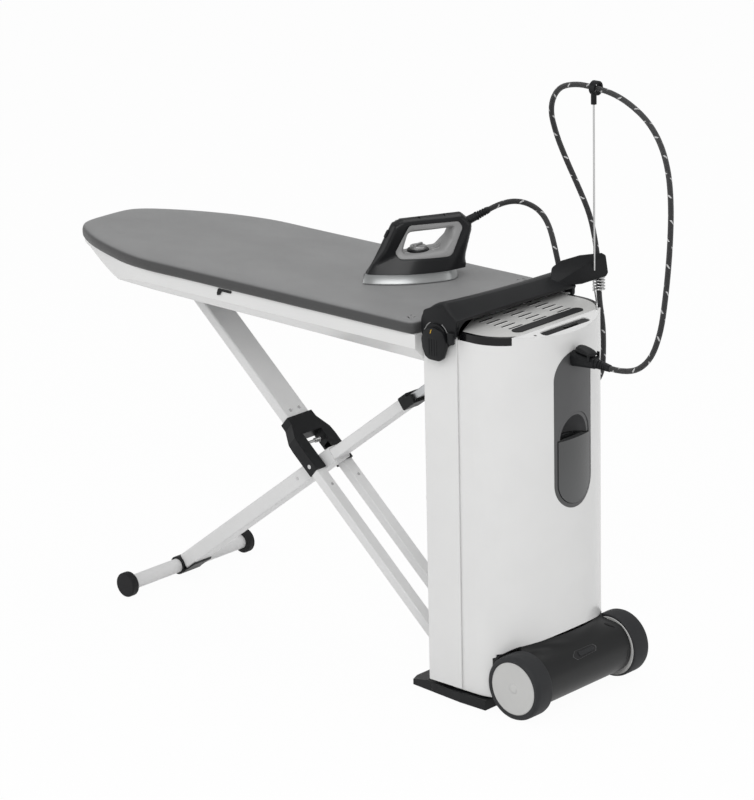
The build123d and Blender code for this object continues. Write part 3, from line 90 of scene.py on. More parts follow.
# painted shade: the cover's side is darker below these heights
PAD_PAINTED_SHADE_LOW = 0.8315
PAD_PAINTED_SHADE_HIGH = 0.8362
# size of the triangles on the cover's top
PAD_CELL = 0.012

# the water tank's lower edge and how far above it the colour turns from lighter to darker
TANK_FOOT = 0.445
TANK_FADE = 0.14

# the iron's frame: along from its tip, across, up from the board
IRON_PLACE = Matrix.Translation((-0.377, -0.062, 0.8374)) @ Matrix.Rotation(math.radians(60.0), 4, "Z")
IRON_FOOT = 0.0221
IRON_SIDE = [(0.009, IRON_FOOT), (0.041, 0.078), (0.068, 0.128), (0.088, 0.1365), (0.224, 0.139),
             (0.249, 0.116), (0.247, 0.098), (0.2235, IRON_FOOT)]
IRON_WINDOW = [(0.103, 0.124), (0.215, 0.124), (0.223, 0.109), (0.192, 0.051), (0.077, 0.052),
               (0.069, 0.067)]
IRON_OPENING = [(0.102, 0.107), (0.202, 0.111), (0.193, 0.089), (0.172, 0.0655), (0.085, 0.0605)]
SOLE_WIDTHS = [(0.0, 0.0), (0.012, 0.0125), (0.038, 0.0265), (0.066, 0.0380), (0.094, 0.0460),
               (0.125, 0.0497), (0.156, 0.0497), (0.186, 0.0460), (0.214, 0.0370), (0.235, 0.0305),
               (0.260, 0.0265)]
SOLE_LENGTH = 0.214
HEEL_AT = 0.188
HEEL_TURN = 0.026
SOLE_LAYERS = [(0.0016, 0.0), (0.0004, 0.0006), (0.0, 0.0016), (0.0004, 0.0040), (0.0010, 0.0048),
               (0.0036, 0.0214), (0.0044, 0.0220)]
DIAL_AT = 0.127
DECK_UP = 0.0630
# the dial's base as (radius, height), its knob as (radius, height, depth of the flutes)
DIAL_BASE = [(0.0, -0.004), (0.0240, -0.004), (0.0243, 0.0010), (0.0234, 0.0030), (0.0210, 0.0034),
             (0.0, 0.0034)]
DIAL_KNOB = [(0.0, 0.0028, 0), (0.0178, 0.0028, 0), (0.0182, 0.0036, 1), (0.0180, 0.0088, 1),
             (0.0172, 0.0102, 0.4), (0.0160, 0.0108, 0), (0.0080, 0.0114, 0), (0.0, 0.0116, 0)]
DECK_STROKES = [((0.1550, -0.0040), (0.1790, 0.0030), 0.0012),
                ((0.1530, -0.0150), (0.1710, -0.0115), 0.0012),
                ((0.0935, -0.0095), (0.1040, -0.0112), 0.0013)]

# rail over the board's end: the heights of its ridge and lip across the board
CAP_NEAR = -0.194
CAP_FAR = 0.194
CAP_TURN = 0.022
CAP_RIDGE = [(-0.194, 0.8865), (-0.184, 0.886), (-0.131, 0.8812), (-0.046, 0.8757), (0.090, 0.8693),
             (0.194, 0.8668)]
CAP_LIP = [(-0.194, 0.8530), (-0.149, 0.8524), (-0.060, 0.8515), (0.076, 0.8478), (0.194, 0.8438)]
# the section behind the ridge: distance behind the front lip and share of the ridge's rise
CAP_BACK = [(0.0990, 0.0), (0.0975, 0.22), (0.0930, 0.42), (0.0840, 0.60), (0.0740, 0.77), (0.0640, 0.895),
            (0.0560, 0.960), (0.0480, 0.995), (0.0410, 0.985), (0.0345, 0.930)]
CAP_LIP_X = 0.0085
CAP_FOOT = 0.838
CAP_LOW = 0.8362
CAP_SOLID_END = 0.184
KNOB_AT = (-0.047, CAP_NEAR, 0.811)

# wheels as (radius, distance from the outer face)
WHEEL_X = 0.145
WHEEL_Y = 0.187
WHEEL_Z = 0.071
TYRE = [(0.0580, 0.0015), (0.0600, 0.0), (0.0655, 0.0004), (0.0690, 0.0030), (0.0707, 0.0070),
        (0.0710, 0.0120), (0.0710, 0.0440), (0.0700, 0.0480), (0.0680, 0.0498), (0.0600, 0.0500),
        (0.0585, 0.0490)]
WHEEL_CAP = [(0.0, 0.0032), (0.0040, 0.0030), (0.0072, 0.0016), (0.0098, 0.0028), (0.0130, 0.0036),
             (0.0300, 0.0030), (0.0480, 0.0018), (0.0560, 0.0010), (0.0576, 0.0022), (0.0577, 0.0060),
             (0.0, 0.0060)]
WHEEL_RING = [(0.0520, 0.0440), (0.0578, 0.0440), (0.0640, 0.0500), (0.0662, 0.0508), (0.0655, 0.0520),
              (0.0600, 0.0520), (0.0530, 0.0500)]
SPOKES = 24

# saddle round the axle and the drum below it; the seam is (distance from the middle, height)
SEAM = [(0.0, 0.1567), (0.050, 0.1548), (0.089, 0.1518), (0.107, 0.1496), (0.128, 0.1462), (0.141, 0.1436),
        (0.156, 0.1350), (0.172, 0.1190)]
SADDLE_HALF = 0.1345
SADDLE_TOUCH = math.radians(52)
SADDLE_END = math.radians(128)
SADDLE_PROUD = 0.0006
WHEEL_ARCH = 0.0738
DRUM_Z = 0.075
DRUM_RADIUS = 0.061
LATCH_ANGLE = math.radians(38)
LATCH_Y = -0.007
# painted shade in a groove and a slot of the drum: distance from the object's middle, and up round the drum
DRUM_PAINTED_SHADE = {
    "drum_groove_painted_shade": [(0.095, 0.052), (0.101, 0.050), (0.119, 0.026), (0.116, 0.022)],
    "drum_slot_painted_shade": [(0.122, -0.058), (0.131, -0.058), (0.131, -0.036), (0.122, -0.036)],
}

# slots of the iron's rest plate: the first one's place, their spacing and half sizes
SLOT_FIRST = -0.011
SLOT_PITCH = 0.0203
SLOT_GROUP = 0.078
SLOT_WIDE = 0.0030
SLOT_LONG = 0.02144

# nodes of the repeating group and the links between them
REPEAT_INPUTS = {"Piece": "Geometry", "Count": "Int", "Step": "Vector", "Rows": "Int", "Row Step": "Vector",
                 "Turn": "Float", "Finish": "Material"}
REPEAT_NODES = {
    "given": "NodeGroupInput", "result": "NodeGroupOutput", "row": "GeometryNodeMeshLine",
    "rows": "GeometryNodeMeshLine", "grid": "GeometryNodeInstanceOnPoints",
    "spread": "GeometryNodeRealizeInstances", "index": "GeometryNodeInputIndex", "angle": "ShaderNodeMath",
    "spin": "ShaderNodeCombineXYZ", "each": "GeometryNodeInstanceOnPoints",
    "real": "GeometryNodeRealizeInstances", "paint": "GeometryNodeSetMaterial",
}
REPEAT_LINKS = [
    ("given", "Count", "row", "Count"), ("given", "Step", "row", "Offset"),
    ("given", "Rows", "rows", "Count"), ("given", "Row Step", "rows", "Offset"),
    ("rows", "Mesh", "grid", "Points"), ("row", "Mesh", "grid", "Instance"),
    ("grid", "Instances", "spread", "Geometry"), ("index", "Index", "angle", 0),
    ("given", "Turn", "angle", 1), ("angle", "Value", "spin", "Z"),
    ("spread", "Geometry", "each", "Points"), ("given", "Piece", "each", "Instance"),
    ("spin", "Vector", "each", "Rotation"), ("each", "Instances", "real", "Geometry"),
    ("real", "Geometry", "paint", "Geometry"), ("given", "Finish", "paint", "Material"),
    ("paint", "Geometry", "result", "Pieces"),
]


class Sock:
    """An output socket that takes part in Python expressions on values."""

    def __init__(self, shade, out):
        self.shade = shade
        self.out = out

    def _math(self, operation, *values):
        return self.shade.node("Math", {"operation": operation}, dict(enumerate(values)))

    def __add__(self, other):
        return self._math("ADD", self, other)

    def __radd__(self, other):
        return self._math("ADD", other, self)

    def __sub__(self, other):
        return self._math("SUBTRACT", self, other)

    def __rsub__(self, other):
        return self._math("SUBTRACT", other, self)

    def __mul__(self, other):
        return self._math("MULTIPLY", self, other)

    def __rmul__(self, other):
        return self._math("MULTIPLY", other, self)

    def __truediv__(self, other):
        return self._math("DIVIDE", self, other)

    def __lt__(self, other):
        return self._math("LESS_THAN", self, other)

    def sin(self):
        return self._math("SINE", self)

    def fract(self):
        return self._math("FRACT", self)

    def floor(self):
        return self._math("FLOOR", self)

    def abs(self):
        return self._math("ABSOLUTE", self)

    def smooth(self, low, high):
        """0 below low, 1 above high and a soft step between them."""
        values = {"Value": self, "From Min": low, "From Max": high}
        return self.shade.node("MapRange", {"interpolation_type": "SMOOTHSTEP"}, values)


class Shade:
    """One material: makes nodes from a type, its settings and the values of its sockets."""

    def __init__(self, name):
        self.material = bpy.data.materials.new(name)
        self.material.use_nodes = True
        self.tree = self.material.node_tree
        self.bsdf = self.tree.nodes["Principled BSDF"]

    def node(self, kind, settings=None, values=None, out=0):
        """A new node with its settings and input values; gives one of its outputs."""
        made = self.tree.nodes.new("ShaderNode" + kind)
        for key, value in (settings or {}).items():
            setattr(made, key, value)
        for key, value in (values or {}).items():
            self.put(made.inputs[key], value)
        return Sock(self, made.outputs[out])

    def put(self, socket, value):
        if isinstance(value, Sock):
            self.tree.links.new(value.out, socket)
        elif socket.type == "RGBA" and len(value) == 3:
            socket.default_value = (*value, 1.0)
        else:
            socket.default_value = value

    def noise(self, scale, detail=2.0, rough=0.5, size=(1, 1, 1)):
        """Noise over the object's coordinates in metres, stretched by size."""
        here = self.node("TexCoord", out="Object")
        vector = self.node("Mapping", {}, {"Vector": here, "Scale": size})
        values = {"Vector": vector, "Scale": scale, "Detail": detail, "Roughness": rough}
        return self.node("TexNoise", {}, values)

    def axes(self, where=None):
        """The three coordinates as separate values."""
        vector = where or self.node("TexCoord", out="Object")
        split = self.node("SeparateXYZ", {}, {0: vector})
        node = split.out.node
        return [Sock(self, node.outputs[i]) for i in range(3)]

    def mix(self, share, a, b):
        return self.node("Mix", {"data_type": "RGBA"}, {0: share, 6: a, 7: b}, out=2)

    def bump(self, height, distance, edge=None):
        """Relief from a height; edge is the radius that sharp edges are eased by."""
        values = {"Height": height, "Distance": distance}
        if edge:
            values["Normal"] = self.node("Bevel", {"samples": 4}, {"Radius": edge})
        return self.node("Bump", {}, values)

    def finish(self, **sockets):
        for name, value in sockets.items():
            self.put(self.bsdf.inputs[name.replace("_", " ")], value)
        return self.material


def tone(colour, k):
    """The colour made lighter or darker."""
    return tuple(min(1.0, c * k) for c in colour)


def moulded(name, colour, rough=0.38, grain=900.0, depth=0.00004, vary=0.06, edge=0.0008, coat=0.0, metal=0.0,
            level=0.5):
    """Moulded or painted skin: soft blotches, a fine grain and eased edges."""
    s = Shade(name)
    broad = s.noise(9.0, 3.0, 0.55)
    fine = s.noise(grain, 2.0, 0.6)
    shade = s.mix(broad.smooth(0.3, 0.7), tone(colour, 1 - vary), tone(colour, 1 + vary))
    dust = s.noise(55.0, 4.0, 0.65)
    gloss = rough - 0.05 + 0.07 * dust + 0.04 * fine
    return s.finish(Base_Color=shade, Roughness=gloss, Normal=s.bump(fine, depth, edge), Metallic=metal,
                    Coat_Weight=coat, Coat_Roughness=0.08, Specular_IOR_Level=level)


def brushed(name, colour, rough=0.3, along=(2, 260, 260), depth=0.00002, edge=0.0005, vary=0.1, metal=1.0):
    """Bare metal drawn along one axis."""
    s = Shade(name)
    lines = s.noise(6.0, 3.0, 0.6, along)
    broad = s.noise(6.0, 2.0)
    share = lines * 0.7 + broad * 0.3
    shade = s.mix(share.smooth(0.25, 0.75), tone(colour, 1 - vary), tone(colour, 1 + vary))
    return s.finish(Base_Color=shade, Metallic=metal, Roughness=rough - 0.06 + 0.14 * lines,
                    Normal=s.bump(lines, depth, edge))


def woven_cover(name, colour):
    """Tightly stretched coated cotton: plain weave, slow tension waves, a soft sheen and painted shade on its
    side.
    """
    s = Shade(name)
    x, y, z = s.axes()
    pitch = 2 * math.pi / 0.0011
    warp = (x * pitch).sin()
    weft = (y * pitch).sin()
    rise = (z * pitch).sin()
    thread = warp * weft + rise * 0.3
    wave = s.noise(5.0, 2.0, 0.5, (1, 2.2, 1))
    patch = s.noise(28.0, 4.0, 0.6)
    share = wave * 0.55 + patch * 0.45
    shade = s.mix(share.smooth(0.3, 0.72), tone(colour, 0.93), tone(colour, 1.07))
    shade = s.mix(thread.smooth(-1.0, 1.2) * 0.14, shade, tone(colour, 0.55))
    # painted shade: below the given heights the cover's side goes much darker
    shade = s.mix(z.smooth(PAD_PAINTED_SHADE_LOW, PAD_PAINTED_SHADE_HIGH), tone(colour, 0.24), shade)
    height = thread * 0.12 + wave * 6.0
    return s.finish(Base_Color=shade, Roughness=0.5 + 0.12 * patch, Metallic=0.25,
                    Normal=s.bump(height, 0.0004), Sheen_Weight=0.25, Sheen_Roughness=0.4)


def braided(name, colour, fleck):
    """Braided hose sleeve: crossing strands and short light dashes at even steps round the hose."""
    s = Shade(name)
    u, v, _ = s.axes(s.node("UVMap", {"uv_map": "UVMap"}))
    turns = 2 * math.pi
    left = ((v * 14 + u * 420) * turns).sin()
    right = ((v * 14 - u * 420) * turns).sin()
    strand = left.abs() * 0.5 + right.abs() * 0.5
    step = 0.0185
    cell = (u / step).floor()
    along = ((u / step).fract() - 0.5).abs() * step
    slant = (v + cell * 0.38 + ((u / step).fract() - 0.5) * 0.42).fract() - 0.5
    dash = (along < 0.0042) * (slant.abs() < 0.055)
    shade = s.mix(strand.smooth(0.2, 0.9), tone(colour, 0.6), tone(colour, 1.5))
    shade = s.mix(dash, shade, fleck)
    return s.finish(Base_Color=shade, Roughness=0.62 - 0.1 * strand, Normal=s.bump(strand, 0.0005),
                    Sheen_Weight=0.2)


def smoked(name, colour):
    """Smoked clear plastic, lighter near its lower edge and darker higher up, closed enough to hide the
    inside.
    """
    s = Shade(name)
    z = s.axes()[2]
    depth = s.noise(14.0, 2.0)
    low = (z - TANK_FOOT).smooth(0.0, TANK_FADE)
    shade = s.mix(low, tone(colour, 1.25), tone(colour, 0.85))
    return s.finish(Base_Color=shade, Roughness=0.10 + 0.06 * depth, Coat_Weight=0.6, Coat_Roughness=0.04,
                    Normal=s.bump(depth, 0.00003, 0.0012))


FINISHES = {}


def make_finishes():
    """Every material of the object, by its slot in the record or its own name."""
    settings = bpy.context.scene.ironing
    black = tuple(settings.plastic_colour)
    white = tuple(settings.shell_colour)

    def make(kind, name, *values, **named):
        FINISHES[name] = kind(name, *values, **named)

    make(moulded, "white_shell", white, 0.24, 700.0, 0.00001, 0.012, 0.0014, coat=0.35)
    make(moulded, "white_profile", white, 0.30, 900.0, 0.00002, 0.012, 0.0012, coat=0.15)
    make(moulded, "white_tube", (0.80, 0.80, 0.80), 0.34, 1100.0, 0.00003, 0.02, 0.0012, coat=0.1)
    make(brushed, "silver_plate", (0.74, 0.74, 0.725), 0.34, (240, 3, 240), metal=0.35)
    make(moulded, "black_plastic", black, 0.42, 1400.0, 0.00005, 0.12, 0.0012, level=0.24)
    make(moulded, "gloss_black", (0.004, 0.004, 0.0045), 0.16, 500.0, 0.00001, 0.1, 0.0008, coat=0.15,
         level=0.25)
    make(moulded, "grey_panel", (0.085, 0.086, 0.088), 0.36, 1400.0, 0.00003, 0.06, 0.0012, coat=0.1,
         level=0.4)
    make(smoked, "tank_smoke", (0.045, 0.047, 0.048))
    make(moulded, "tyre_grey", (0.026, 0.027, 0.029), 0.58, 1600.0, 0.00008, 0.1, 0.0012, level=0.3)
    make(moulded, "hub_grey", (0.60, 0.60, 0.59), 0.42, 1200.0, 0.00003, 0.02, 0.001)
    make(brushed, "axle_steel", (0.62, 0.62, 0.62), 0.22, (60, 60, 60))
    make(brushed, "galvanised", (0.55, 0.56, 0.57), 0.36, (30, 30, 12))
    make(woven_cover, "cover_cloth", tuple(settings.cover_colour))
    make(braided, "hose_braid", (0.012, 0.012, 0.013), (0.62, 0.62, 0.62))
    make(moulded, "foot_rubber", (0.010, 0.010, 0.011), 0.6, 1500.0, 0.00009, 0.1, 0.0015, level=0.3)
    make(brushed, "sole_metal", (0.38, 0.39, 0.39), 0.3, (6, 6, 40), 0.000004, vary=0.04, metal=0.8)
    make(moulded, "iron_black", (0.008, 0.0085, 0.0095), 0.30, 1200.0, 0.00002, 0.08, 0.0012, coat=0.05,
         level=0.3)
    make(moulded, "iron_grey", (0.32, 0.32, 0.32), 0.42, 1200.0, 0.00003, 0.04, 0.0010)
    make(moulded, "dial_silver", (0.42, 0.42, 0.42), 0.3, 900.0, 0.00002, 0.05, 0.0006, metal=0.7)
    make(moulded, "base_black", black, 0.45, 1300.0, 0.00006, 0.12, 0.0012, level=0.24)
    make(moulded, "satin_black", (0.007, 0.0075, 0.008), 0.36, 900.0, 0.00002, 0.06, 0.0012, level=0.4)
    make(moulded, "lamp_lens", (0.02, 0.02, 0.022), 0.08, 400.0, 0.00001, 0.05, 0.0005, coat=1.0)
    make(moulded, "mark_white", (0.55, 0.55, 0.55), 0.5, 900.0, 0.00001, 0.04, None)
    # pale finish for the painted highlights on the rest plate's slot lips
    make(moulded, "bright_edge", (0.86, 0.86, 0.85), 0.3, 900.0, 0.00001, 0.02, None)
    make(moulded, "mark_grey", (0.30, 0.30, 0.30), 0.5, 900.0, 0.00001, 0.04, None)
    make(moulded, "mark_yellow", (0.62, 0.36, 0.02), 0.5, 900.0, 0.00001, 0.04, None)
    # dark finish that stands in as painted shade in slots, grooves and gaps
    make(moulded, "inner_dark", (0.01, 0.01, 0.011), 0.6, 900.0, 0.00004, 0.1, 0.001)


def dress_nodes():
    """Gives every carried-over solid its finish from the record's slot."""
    for row in frame["record"]["subparts"]:
        mesh = NODES[row["node"]].data
        mesh.materials.clear()
        mesh.materials.append(FINISHES[row["material_slot"]])


def put_in_scene(name, data):
    """A new object in the scene's collection."""
    made = bpy.data.objects.new(name, data)
    bpy.context.scene.collection.objects.link(made)
    return made


def add(mesh, name, finish, body, angle=35.0):
    """Puts a mesh in the scene on its body; only edges sharper than angle stay sharp."""
    mesh.name = name
    made = put_in_scene(name, mesh)
    mesh.materials.clear()
    mesh.materials.append(FINISHES[finish])
    mesh.shade_smooth()
    mesh.set_sharp_from_angle(angle=math.radians(angle))
    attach(made, body)
    return made


def to_mesh(bm):
    """The faces of a bmesh as a mesh; the bmesh is freed."""
    mesh = bpy.data.meshes.new("piece")
    bm.to_mesh(mesh)
    bm.free()
    return mesh


def closed_mesh(bm):
    """The same, with double points joined and the faces turned outwards."""
    bmesh.ops.remove_doubles(bm, verts=bm.verts, dist=1e-6)
    bmesh.ops.recalc_face_normals(bm, faces=bm.faces)
    return to_mesh(bm)


def walls(bm, rings, loop=False):
    """Quads between rings of the same number of points; gives the corners, ring by ring."""
    rows = [[bm.verts.new(p) for p in ring] for ring in rings]
    count = len(rows[0])
    pairs = list(zip(rows, rows[1:]))
    if loop:
        pairs.append((rows[-1], rows[0]))
    for a, b in pairs:
        for i in range(count):
            j = (i + 1) % count
            bm.faces.new((a[i], a[j], b[j], b[i]))
    return rows


def close_ends(bm, rows):
    """Flat faces on the first and the last ring."""
    bm.faces.new(rows[0])
    bm.faces.new(list(reversed(rows[-1])))


def skin(rings, loop=False):
    """A closed skin over rings, with flat ends or with the last ring joined to the first."""
    bm = bmesh.new()
    rows = walls(bm, rings, loop)
    if not loop:
        close_ends(bm, rows)
    return closed_mesh(bm)


def directions(axis, steps):
    """Unit vectors at even steps round an axis."""
    side = axis.orthogonal().normalized()
    up = axis.cross(side)
    turns = [2 * math.pi * k / steps for k in range(steps)]
    return [side * math.cos(a) + up * math.sin(a) for a in turns]


def lathe(profile, centre, axis, steps=96):
    """Turns (radius, along) points about an axis through centre into a closed skin."""
    axis = Vector(axis).normalized()
    around = directions(axis, steps)
    return skin([[centre + axis * along + out * max(r, 1e-5) for out in around] for r, along in profile])


def closed_lathe(profile, centre, axis, steps=96):
    """Turns a closed ring profile about an axis."""
    axis = Vector(axis).normalized()
    around = directions(axis, steps)
    return skin([[centre + axis * along + out * r for r, along in profile] for out in around], loop=True)


def bezier(a, b, c, d, t):
    """Point of a cubic curve from a to d with the handles b and c."""
    return a * (1 - t) ** 3 + b * 3 * t * (1 - t) ** 2 + c * 3 * t * t * (1 - t) + d * t ** 3


def rounded(points, radius, steps=6):
    """A closed outline with its corners rounded, each no more than its shorter side allows."""
    out = []
    n = len(points)
    for i in range(n):
        p = Vector(points[i])
        a = Vector(points[i - 1]) - p
        b = Vector(points[(i + 1) % n]) - p
        r = radius[i] if isinstance(radius, (list, tuple)) else radius
        if r <= 0:
            out.append(p)
            continue
        half = a.angle(b) / 2
        cut = min(r / math.tan(half), a.length * 0.48, b.length * 0.48)
        start = p + a.normalized() * cut
        end = p + b.normalized() * cut
        for k in range(steps + 1):
            t = k / steps
            out.append(start * (1 - t) ** 2 + p * (2 * t * (1 - t)) + end * t * t)
    return out


def plate(outline, place, thick, bevel=0.0):
    """A flat outline made thick along its normal, with eased edges; place maps (u, v, w) to the frame."""
    layers = [(0.0, 0.0), (thick, 0.0)]
    if bevel:
        layers = [(0.0, bevel), (bevel * 0.3, bevel * 0.3), (bevel, 0.0), (thick - bevel, 0.0),
                  (thick - bevel * 0.3, bevel * 0.3), (thick, bevel)]
    rings = []
    for w, inset in layers:
        ring = shrink(outline, inset) if inset else outline
        rings.append([place(p.x, p.y, w) for p in ring])
    return skin(rings)


def shrink(outline, inset):
    """Moves each point of a closed outline inwards by inset."""
    n = len(outline)
    area = sum(outline[i - 1].x * outline[i].y - outline[i].x * outline[i - 1].y for i in range(n))
    side = 1.0 if area > 0 else -1.0
    out = []
    for i in range(n):
        a = outline[i - 1]
        b = outline[(i + 1) % n]
        d = b - a
        if d.length < 1e-9:
            out.append(outline[i].copy())
            continue
        normal = Vector((-d.y, d.x)).normalized() * side
        out.append(outline[i] + normal * inset)
    return out


def route_points(name, route):
    """Points along one smooth NURBS line that has the route as its control points."""
    curve = bpy.data.curves.new(name, "CURVE")
    curve.dimensions = "3D"
    curve.resolution_u = 6
    spline = curve.splines.new("NURBS")
    spline.points.add(len(route) - 1)
    for point, place in zip(spline.points, route):
        point.co = (*place, 1.0)
    spline.order_u = 3
    spline.use_endpoint_u = True
    holder = put_in_scene(name, curve)
    bpy.context.view_layer.update()
    mesh = bpy.data.meshes.new_from_object(holder.evaluated_get(bpy.context.evaluated_depsgraph_get()))
    points = [v.co.copy() for v in mesh.vertices]
    bpy.data.objects.remove(holder)
    bpy.data.curves.remove(curve)
    bpy.data.meshes.remove(mesh)
    return points


def tube_rings(points, radius, sides):
    """Rings of points round a line, without twist from one to the next."""
    rings = []
    side = (points[1] - points[0]).normalized().orthogonal().normalized()
    turns = [2 * math.pi * k / sides for k in range(sides)]
    for i, p in enumerate(points):
        a = points[max(i - 1, 0)]
        b = points[min(i + 1, len(points) - 1)]
        heading = (b - a).normalized()
        side = (side - heading * side.dot(heading)).normalized()
        up = heading.cross(side)
        rings.append([p + (side * math.cos(a) + up * math.sin(a)) * radius for a in turns])
    return rings


def tube_along(points, radius, sides=20):
    """A tube mesh along points and its length, with UV metres along and turns around."""
    lengths = [0.0]
    for a, b in zip(points, points[1:]):
        lengths.append(lengths[-1] + (b - a).length)
    bm = bmesh.new()
    uv = bm.loops.layers.uv.new("UVMap")
    rows = walls(bm, tube_rings(points, radius, sides))
    for number, face in enumerate(bm.faces):
        i, k = divmod(number, sides)
        marks = ((lengths[i], k), (lengths[i], k + 1), (lengths[i + 1], k + 1), (lengths[i + 1], k))
        for corner, (along, around) in zip(face.loops, marks):
            corner[uv].uv = (along, around / sides)
    close_ends(bm, rows)
    bmesh.ops.recalc_face_normals(bm, faces=bm.faces)
    return to_mesh(bm), lengths[-1]


def build_camera():
    """Camera with the photograph's place, turn and lens."""
    data = bpy.data.cameras.new("photo_camera")
    data.sensor_fit = "AUTO"
    data.sensor_width = SENSOR_WIDTH
    data.lens = PHOTO_FOCAL * SENSOR_WIDTH / max(PHOTO_SIZE)
    data.clip_end = 60.0
    made = put_in_scene("photo_camera", data)
    a, e, r = CAMERA_AZIMUTH, CAMERA_ELEVATION, CAMERA_ROLL
    back = Vector((math.sin(a) * math.cos(e), -math.cos(a) * math.cos(e), math.sin(e)))
    right = Vector((0, 0, 1)).cross(back).normalized()
    up = back.cross(right)
    turned_right = right * math.cos(r) + up * math.sin(r)
    turned_up = up * math.cos(r) - right * math.sin(r)
    turn = Matrix((turned_right, turned_up, back)).transposed().to_4x4()
    made.matrix_world = Matrix.Translation(CAMERA_AT) @ turn
    bpy.context.scene.camera = made


def lay_hose(name, route, body):
    """A braided hose along its route, in the place of the solid of that name."""
    width = round(bpy.context.scene.ironing.hose_width, 5)
    points = route_points(name + "_route", route)
    mesh, length = tube_along(points, width / 2)
    hose = add(mesh, name + "_braid", "hose_braid", body)
    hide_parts(name)


def build_hoses():
    """The steam hose and the iron's own hose."""
    lay_hose("steam_hose", STEAM_ROUTE, "column")
    lay_hose("iron_hose", IRON_ROUTE, "lift")


def board_outline():
    """The board's plan: blunt rounded nose, widening sides and a straight end at the cap rail."""
    low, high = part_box("board_cover")
    nose = low[0]
    end = high[0]
    half = high[1]
    corners = [(0.0005, 0.0), (0.0012, 0.040), (0.0065, 0.0700), (0.0220, 0.0930), (0.0530, 0.1170),
               (0.1150, 0.1500), (0.1880, 0.1780), (0.2680, 0.2010), (0.3480, half), (0.4500, half)]
    side = smooth_line([Vector((nose + x, y)) for x, y in corners], 8)
    side += [Vector((side[-1].x + (end - side[-1].x) * k / 60, half)) for k in range(1, 61)]
    near = [Vector((p.x, -p.y)) for p in reversed(side[1:])]
    across = [Vector((end, half - 2 * half * k / 24)) for k in range(1, 24)]
    return ease_line(side + across + near)


def ease_line(points):
    """Softens the corners of a closed outline a little without moving its long runs."""
    for _ in range(3):
        after = points[1:] + points[:1]
        points = [p * 0.5 + (points[i - 1] + after[i]) * 0.25 for i, p in enumerate(points)]
    return points


def merge_top(rings, cell):
    """Skins the side rings and fills the last one with evenly sized triangles."""
    bm = bmesh.new()
    rows = walls(bm, rings)
    bm.faces.new(list(reversed(rows[0])))
    top = rows[-1]
    count = len(top)
    rim = [Vector((v.co.x, v.co.y)) for v in top]
    height = sum(v.co.z for v in top) / count
    points = rim + fill_points(rim, [], cell, cell * 0.5)
    edges = [(i, (i + 1) % count) for i in range(count)]
    flat, _, faces, origin, _, _ = delaunay_2d_cdt(points, edges, [], 1, 1e-7)
    made = []
    for p, sources in zip(flat, origin):
        first = [k for k in sources if k < count]
        made.append(top[first[0]] if first else bm.verts.new((p.x, p.y, height)))
    for face in faces:
        bm.faces.new([made[k] for k in face])
    within = [v for v in made if v not in top]
    bmesh.ops.smooth_vert(bm, verts=within, factor=0.5, use_axis_x=False, use_axis_y=False, use_axis_z=True)
    return closed_mesh(bm)


def ripple(rings, end):
    """Shallow waves in the stretched cloth, strongest on the side; end is where the cover stops."""
    for depth, ring in enumerate(rings):
        strength = 1.0 if 2 <= depth <= 9 else 0.35
        for p in ring:
            p.z += (noise.noise(Vector((p.x * 9, p.y * 9, 0.3))) - 0.2) * 0.0005 * strength
            if 3 <= depth <= 6 and p.x < end - 0.01:
                push = noise.noise(Vector((p.x * 22, p.y * 22, 1.7))) * 0.0005
                p.y += math.copysign(push, p.y)


def build_board_pad():
    """Foam pad in its stretched cover, crowned at the edge, gathered under the rim."""
    low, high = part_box("board_cover")
    top = high[2]
    base = low[2]
    outline = board_outline()
    profile = [(0.010, base + 0.0004), (0.004, base + 0.0006), (0.0012, base + 0.0018), (0.0, base + 0.0045),
               (-0.0006, base + 0.010), (-0.0004, base + 0.016), (0.0008, base + 0.0205),
               (0.0030, base + 0.0238), (0.0065, top - 0.0013), (0.012, top - 0.0005),
               (0.022, top - 0.0001), (0.040, top)]
    rings = []
    for inset, z in profile:
        ring = shrink(outline, inset)
        rings.append([Vector((min(p.x, high[0] - 0.0002), p.y, z)) for p in ring])
    ripple(rings, high[0])
    pad = add(merge_top(rings, PAD_CELL), "board_pad", "cover_cloth", "lift", angle=70)
    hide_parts("board_cover")


def repeat_tree():
    """Geometry Nodes group: rows of rows of a piece, or a ring of it about its own Z axis."""
    tree = bpy.data.node_groups.new("repeated_piece", "GeometryNodeTree")
    for name, kind in REPEAT_INPUTS.items():
        tree.interface.new_socket(name, in_out="INPUT", socket_type="NodeSocket" + kind)
    tree.interface.new_socket("Pieces", in_out="OUTPUT", socket_type="NodeSocketGeometry")
    nodes = {name: tree.nodes.new(kind) for name, kind in REPEAT_NODES.items()}
    nodes["row"].mode = "OFFSET"
    nodes["rows"].mode = "OFFSET"
    nodes["angle"].operation = "MULTIPLY"
    for start, out, end, into in REPEAT_LINKS:
        tree.links.new(nodes[start].outputs[out], nodes[end].inputs[into])
    return tree


def repeat(mesh, name, finish, body, place=Matrix(), count=1, step=(0, 0, 0), rows=1, row_step=(0, 0, 0),
           turn=0.0):
    """Repeats a small piece by Geometry Nodes and keeps the result as one plain mesh."""
    tree = bpy.data.node_groups.get("repeated_piece") or repeat_tree()
    holder = put_in_scene(name + "_source", mesh)
    modifier = holder.modifiers.new("repeat", "NODES")
    modifier.node_group = tree
    values = {"Count": count, "Step": step, "Rows": rows, "Row Step": row_step, "Turn": turn,
              "Finish": FINISHES[finish]}
    for item in tree.interface.items_tree:
        if item.in_out == "INPUT" and item.name in values:
            modifier[item.identifier] = values[item.name]
    bpy.context.view_layer.update()
    made = bpy.data.meshes.new_from_object(holder.evaluated_get(bpy.context.evaluated_depsgraph_get()))
    made.transform(place)
    bpy.data.objects.remove(holder)
    return add(made, name, finish, body)


def merged(*meshes):
    """Several closed skins in one mesh."""
    bm = bmesh.new()
    for mesh in meshes:
        bm.from_mesh(mesh)
        bpy.data.meshes.remove(mesh)
    return to_mesh(bm)


